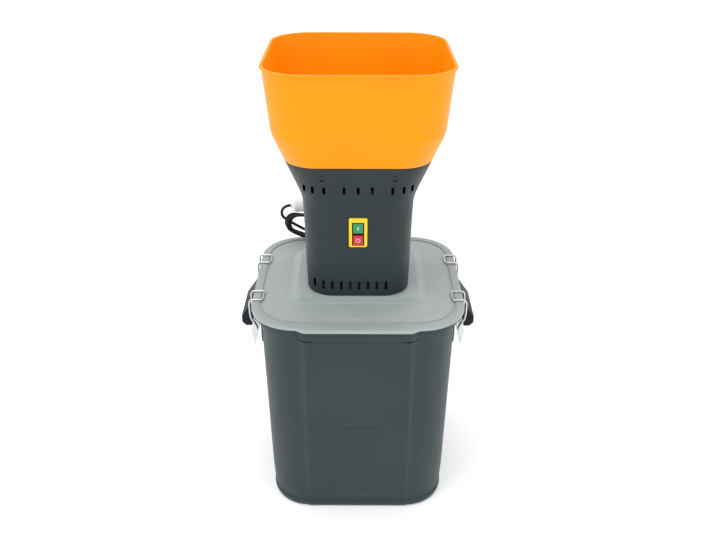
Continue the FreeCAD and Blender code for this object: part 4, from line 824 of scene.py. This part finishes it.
def add_hopper():
    """The open hopper: a skirt over the housing, a flare up to the break, then its wall."""
    finish = FINISHES["hopper_plastic"]

    def wall(share, level, inset=0.0):
        """The upper part's outline, from the break to the brim."""
        outline = between(HOPPER_BREAK, HOPPER_TOP, share)
        return whole_ring(quarter_round(outline, inset), level)

    def band(share, level, inset=0.0):
        """The lower part's outline, from the seam to the break."""
        return whole_ring(quarter_round(between(HOUSING_TOP, HOPPER_BREAK, share), inset), level)
    skirt_low, gap = 676, 3.3
    skirt = between(HOUSING_WAIST, HOUSING_TOP, 1 - 28 / 76)
    rings = [whole_ring(quarter_round(skirt, gap), skirt_low),
             whole_ring(quarter_round(HOUSING_TOP, gap), SEAM - 1)]
    rings += [band(0, SEAM + 0.1, gap), band(0, SEAM + 0.1, 1.6), band(0.01, SEAM + 0.6, 0.5),
              band(0.03, SEAM + 1.8)]
    rings += [band(share, SEAM + 54 * share) for share in (0.35, 0.7, 0.93)]
    rings += [band(0.985, 757.6, 0.25), wall(0.015, 759.6, 0.25)]
    height = BRIM - BREAK_LEVEL
    rings += [wall(share, BREAK_LEVEL + height * share, 3 * share)
              for share in (0.06, 0.35, 0.65, 0.93)]
    rings += [wall(1, BRIM - 4.4, 2.9), wall(1, BRIM - 4.1, 1.2)]
    rings += [wall(1, BRIM - 4.2 + sink, inset) for sink, inset in reversed(rounding(1.2))]
    rings += [wall(1, BRIM - sink, inset) for sink, inset in rounding(2, 4)]
    rings += [wall(1, BRIM, 4.4), wall(1, BRIM - 0.5, 5.6), wall(1, BRIM - 2, 6)]
    rings += [wall(share, BREAK_LEVEL + height * share, WALL + 3 * share)
              for share in (0.7, 0.35, 0.03)]
    rings += [band(0.97, 756.4, WALL), band(0.5, 731, 4.6), band(0, SEAM + 1, gap + WALL),
              whole_ring(quarter_round(HOUSING_TOP, gap + WALL), SEAM - 1),
              whole_ring(quarter_round(skirt, gap + WALL), skirt_low)]
    item = Form().add(loft(rings, True)).mesh("hopper_shell", finish)
    gate_slot = box_corners(-27.5, 27.5, 711, 714)
    carve(item, Form().add(prism(gate_slot, 0.5, 110, 160, 0, through)), finish)
    settle(item, "mill_head", ["hopper"], 24)


def add_latch(mark, end):
    """The wire bail of one latch, with its ends turned into the lever."""
    side, row = SIDES[mark], ROWS[end]
    corner = f"{mark}_{end}"
    pivot_x, pivot_z = LATCH_PIN
    middle = LATCH_Y * row
    wire = 1.9
    bar = LID_TOP + 1.8 - pivot_z
    arm = 16.95
    half_line = [(0, -12, 12.6), (0, -12, arm), (1.5, -6, arm), (10.5, 12, arm), (12, 24, arm),
                 (12, bar - 6, arm), (9, bar, arm), (-14, bar, arm)]
    line = half_line + [(x, z, -y) for x, z, y in reversed(half_line)]
    places = [(side * (pivot_x + x), middle + y, pivot_z + z) for x, z, y in line]
    form = Form().add(rod_along(bent_line(places, 4), wire))
    item = form.mesh("bail_" + corner, FINISHES["latch_steel"])
    settle(item, "latch_bail_" + corner, ["latch_bail_" + corner], 60)
    add_lever(corner, side, (pivot_x, middle, pivot_z))


def add_lever(corner, side, pivot):
    """A bulged channel that hangs from its pin, with a narrow finger tail."""
    plate = [(-3.5, -15.5), (3.5, -40), (7, -42), (11.5, -24), (11, -10), (8, 1), (3.5, 4),
             (-3.5, 4)]
    hollow = [(-6, -16), (2.4, -39.5), (5.6, -40.5), (9.9, -24), (9.4, -10), (6.8, 0), (6, 7),
              (-6, 7)]
    tail = [(3, -37), (7.2, -56), (8.6, -56), (6.8, -38)]
    flange_in, flange_out, tail_half = 12.4, 13.9, 9
    web_top = 16

    def across(u, v, w):
        return (side * (pivot[0] + u), pivot[1] + w, pivot[2] + v)
    finish = FINISHES["latch_steel"]
    form = Form().add(prism(plate, 1.5, -flange_out, flange_out, 0.4, across))
    item = form.mesh("lever_" + corner, finish)
    carve(item, Form().add(prism(hollow, 1, -flange_in, flange_in, 0.3, across)), finish)
    open_top = box_corners(5, 15, -web_top, 8)
    carve(item, Form().add(prism(open_top, 0.5, -flange_in, flange_in, 0, across)), finish)
    settle(item, "latch_lever_" + corner, ["latch_lever_" + corner], 40)
    grip = Form().add(prism(tail, 0.5, -tail_half, tail_half, 0.4, across))
    grip = grip.mesh("lever_tail_" + corner, finish)
    settle(grip, "latch_lever_" + corner, sharp=40)


def add_switch():
    """The switch plate, its dark seal and two buttons, each with a plain mark."""
    outer = box_corners(-16.6, 16.6, 546, 603)
    opening = box_corners(-11, 11, 548.8, 594.5)
    plate = Form().add(prism(outer, 3.5, WALL_FACE, WALL_FACE + 3.5, 0.2, on_front, 1.2))
    yellow = FINISHES["switch_yellow"]
    plate = plate.mesh("switch_frame", yellow)
    carve(plate, Form().add(prism(opening, 1.2, 90, 110, 0, on_front)), yellow)
    settle(plate, "mill_head", ["switch_plate"], 30)
    black = FINISHES["switch_black"]
    seal = box_corners(-17.4, 17.4, 545.2, 603.8)
    seal = Form().add(prism(seal, 4, 100.6, 101.9, 0.2, on_front, 0.4))
    seal = seal.mesh("switch_seal", black)
    hole = box_corners(*SWITCH_HOLE)
    carve(seal, Form().add(prism(hole, 1, 90, 110, 0, on_front)), black)
    settle(seal, "mill_head", sharp=30)
    for name, low in (("red", 550), ("green", 573.4)):
        add_button(name, low)


def add_button(name, low):
    """A cap with its stem, and on it a bar for start or a ring for stop."""
    half, height, thick = 8.8, 19.2, 8
    stem, stem_length = 3, 9
    face = WALL_FACE + 4.1
    middle = low + height / 2
    body, slot = name + "_button", "button_" + name
    finish = FINISHES[slot]
    cap = Form().add(prism(box_corners(-half, half, low, low + height), 1.4, face - thick, face,
                           0.2, on_front, 0.9))
    stem_start = thick - face
    cap.add(turned([(stem, stem_start), (stem, stem_start + stem_length)], (0, 0, middle), "Y",
                   24))
    cap = cap.mesh(name + "_cap", finish)
    settle(cap, body, [body], 30)
    sunk, raised = face - 0.4, face + 0.12
    mark = Form()
    if name == "green":
        bar = box_corners(-1.1, 1.1, middle - 3.2, middle + 3.2)
        mark.add(prism(bar, 0.3, sunk, raised, 0, on_front))
    else:
        outside, inside, steps = 4, 2.9, 40
        angles = [2 * math.pi * step / steps for step in range(steps)]
        rings = ((outside, sunk), (outside, raised), (inside, raised), (inside, sunk))
        mark.add(loft([[on_front(radius * math.cos(angle), middle + radius * math.sin(angle),
                                 depth) for angle in angles] for radius, depth in rings], True))
    mark = mark.mesh(name + "_mark", WHITE_INK)
    settle(mark, body, sharp=30)


def add_gland():
    """The strain relief: a flange, then a tail of soft ridges."""
    profile = [(0.5, -9), (9, -9), (9, -3), (6.8, -3), (6.8, 0), (9.6, 0), (10, 0.4), (10, 2.4),
               (9.2, 3), (6.3, 3)]
    ridges, first, pitch = 5, 4, 3.6
    for index in range(ridges):
        start = first + pitch * index
        radius = 6.2 - 0.4 * index
        valley = radius - 1.1
        profile += [(radius, start), (radius - 0.1, start + 2.0), (valley, start + 2.4),
                    (valley, start + 3.2)]
    profile += [(4.4, 22.4), (4.2, 23), (3.3, 23)]
    form = Form().add(turned(profile, (GLAND_X, WALL_FACE, GLAND_LEVEL), "Y"))
    item = form.mesh("cord_gland", FINISHES["gland_rubber"])
    settle(item, "mill_head", ["cable_gland"], 30)


def add_plug():
    """A round moulded plug with a short neck, a waist to hold and two pins."""
    profile = [(3.3, 0), (6.2, 0), (7, 0.7), (7.1, 2.4), (6.5, 2.9), (6.5, 3.8), (9, 4.6),
               (12.2, 6), (13.6, 7.6), (14.2, 11), (13.6, 17), (13, 25), (13.3, 33), (14.6, 39),
               (15, 41), (15, 46.4), (14.4, 47.6), (13.2, 48), (0.5, 48)]
    form = Form().add(turned(profile, PLUG_TAIL, "X", 48))
    item = form.mesh("plug", FINISHES["plug_grey"])
    settle(item, "mill_head", ["plug_body"], 34)
    pins = Form()
    pin = [(2.4, 48), (2.4, 65.4), (1.9, 66.6), (1, 67)]
    x, y, z = PLUG_TAIL
    for aside in (-9.5, 9.5):
        pins.add(turned(pin, (x, y + aside, z), "X", 24))
    tips = pins.mesh("plug_contacts", FINISHES["pin_brass"])
    settle(tips, "mill_head", ["plug_pins"], 34)
    return [item, tips]


def dress_cad_nodes():
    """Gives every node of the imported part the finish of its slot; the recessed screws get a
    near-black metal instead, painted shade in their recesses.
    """
    # Near-black metal for the screws in the recesses: painted shade.
    black = metal("screw_painted_shade", (0.06, 0.06, 0.065, 1), 0.4, (1, 1, 1), 0.3)
    for row in frame["record"]["subparts"]:
        node = frame["nodes"][row["node"]]
        finish = black if row["node"] == "hopper_screws" else FINISHES[row["material_slot"]]
        for place in node.material_slots:
            place.material = finish.material


def soften_edges(name, width):
    """A small round on the sharp edges of a sheet metal node."""
    node = frame["nodes"][name]
    weld = node.modifiers.new("weld", "WELD")
    weld.merge_threshold = 0.00001
    round_off = node.modifiers.new("round", "BEVEL")
    round_off.width = width * MM
    round_off.segments = 2
    round_off.limit_method = "ANGLE"
    round_off.angle_limit = math.radians(40)
    round_off.use_clamp_overlap = True


def add_light(name, place, size, power):
    """A round soft light, aimed at the middle of the part."""
    data = bpy.data.lights.new(name, "AREA")
    data.shape = "DISK"
    data.size = size
    data.energy = power
    light = bpy.data.objects.new(name, data)
    light.location = place
    aim = Vector((0, 0, 0.5)) - Vector(place)
    light.rotation_euler = aim.to_track_quat("-Z", "Y").to_euler()
    bpy.context.scene.collection.objects.link(light)


def add_studio():
    """A white world, three soft lights and a pale floor."""
    white = (1, 1, 1, 1)
    world = bpy.data.worlds.new("studio")
    world.use_nodes = True
    sky = world.node_tree.nodes["Background"]
    sky.inputs["Color"].default_value = white
    sky.inputs["Strength"].default_value = 0.95
    bpy.context.scene.world = world
    bpy.context.scene.view_settings.view_transform = "Standard"
    add_light("key", (-0.9, -0.9, 3.1), 1.0, 18)
    add_light("fill", (1.9, -1.4, 1.8), 1.5, 2.5)
    add_light("back", (0.3, 1.2, 3.0), 1.6, 10)
    reach = 12
    corners = [(-reach, -reach, 0), (reach, -reach, 0), (reach, reach, 0), (-reach, reach, 0)]
    floor = bpy.data.meshes.new("floor")
    floor.from_pydata(corners, [], [(0, 1, 2, 3)])
    finish = Finish("floor", {"Base Color": white, "Roughness": 0.9,
                              "Emission Color": white, "Emission Strength": 0.2})
    floor.materials.append(finish.material)
    item = bpy.data.objects.new("floor", floor)
    bpy.context.scene.collection.objects.link(item)


add_camera()
lead = add_cord(FINISHES["cord_rubber"], "mill_head")
dress_cad_nodes()
add_studio()
add_bin()
for mark in SIDES:
    add_handle(mark)
    for end in ROWS:
        add_latch(mark, end)
add_lid()
add_housing()
add_hopper()
add_switch()
add_gland()
plug_pieces = add_plug()
soften_edges("latch_brackets", 0.35)
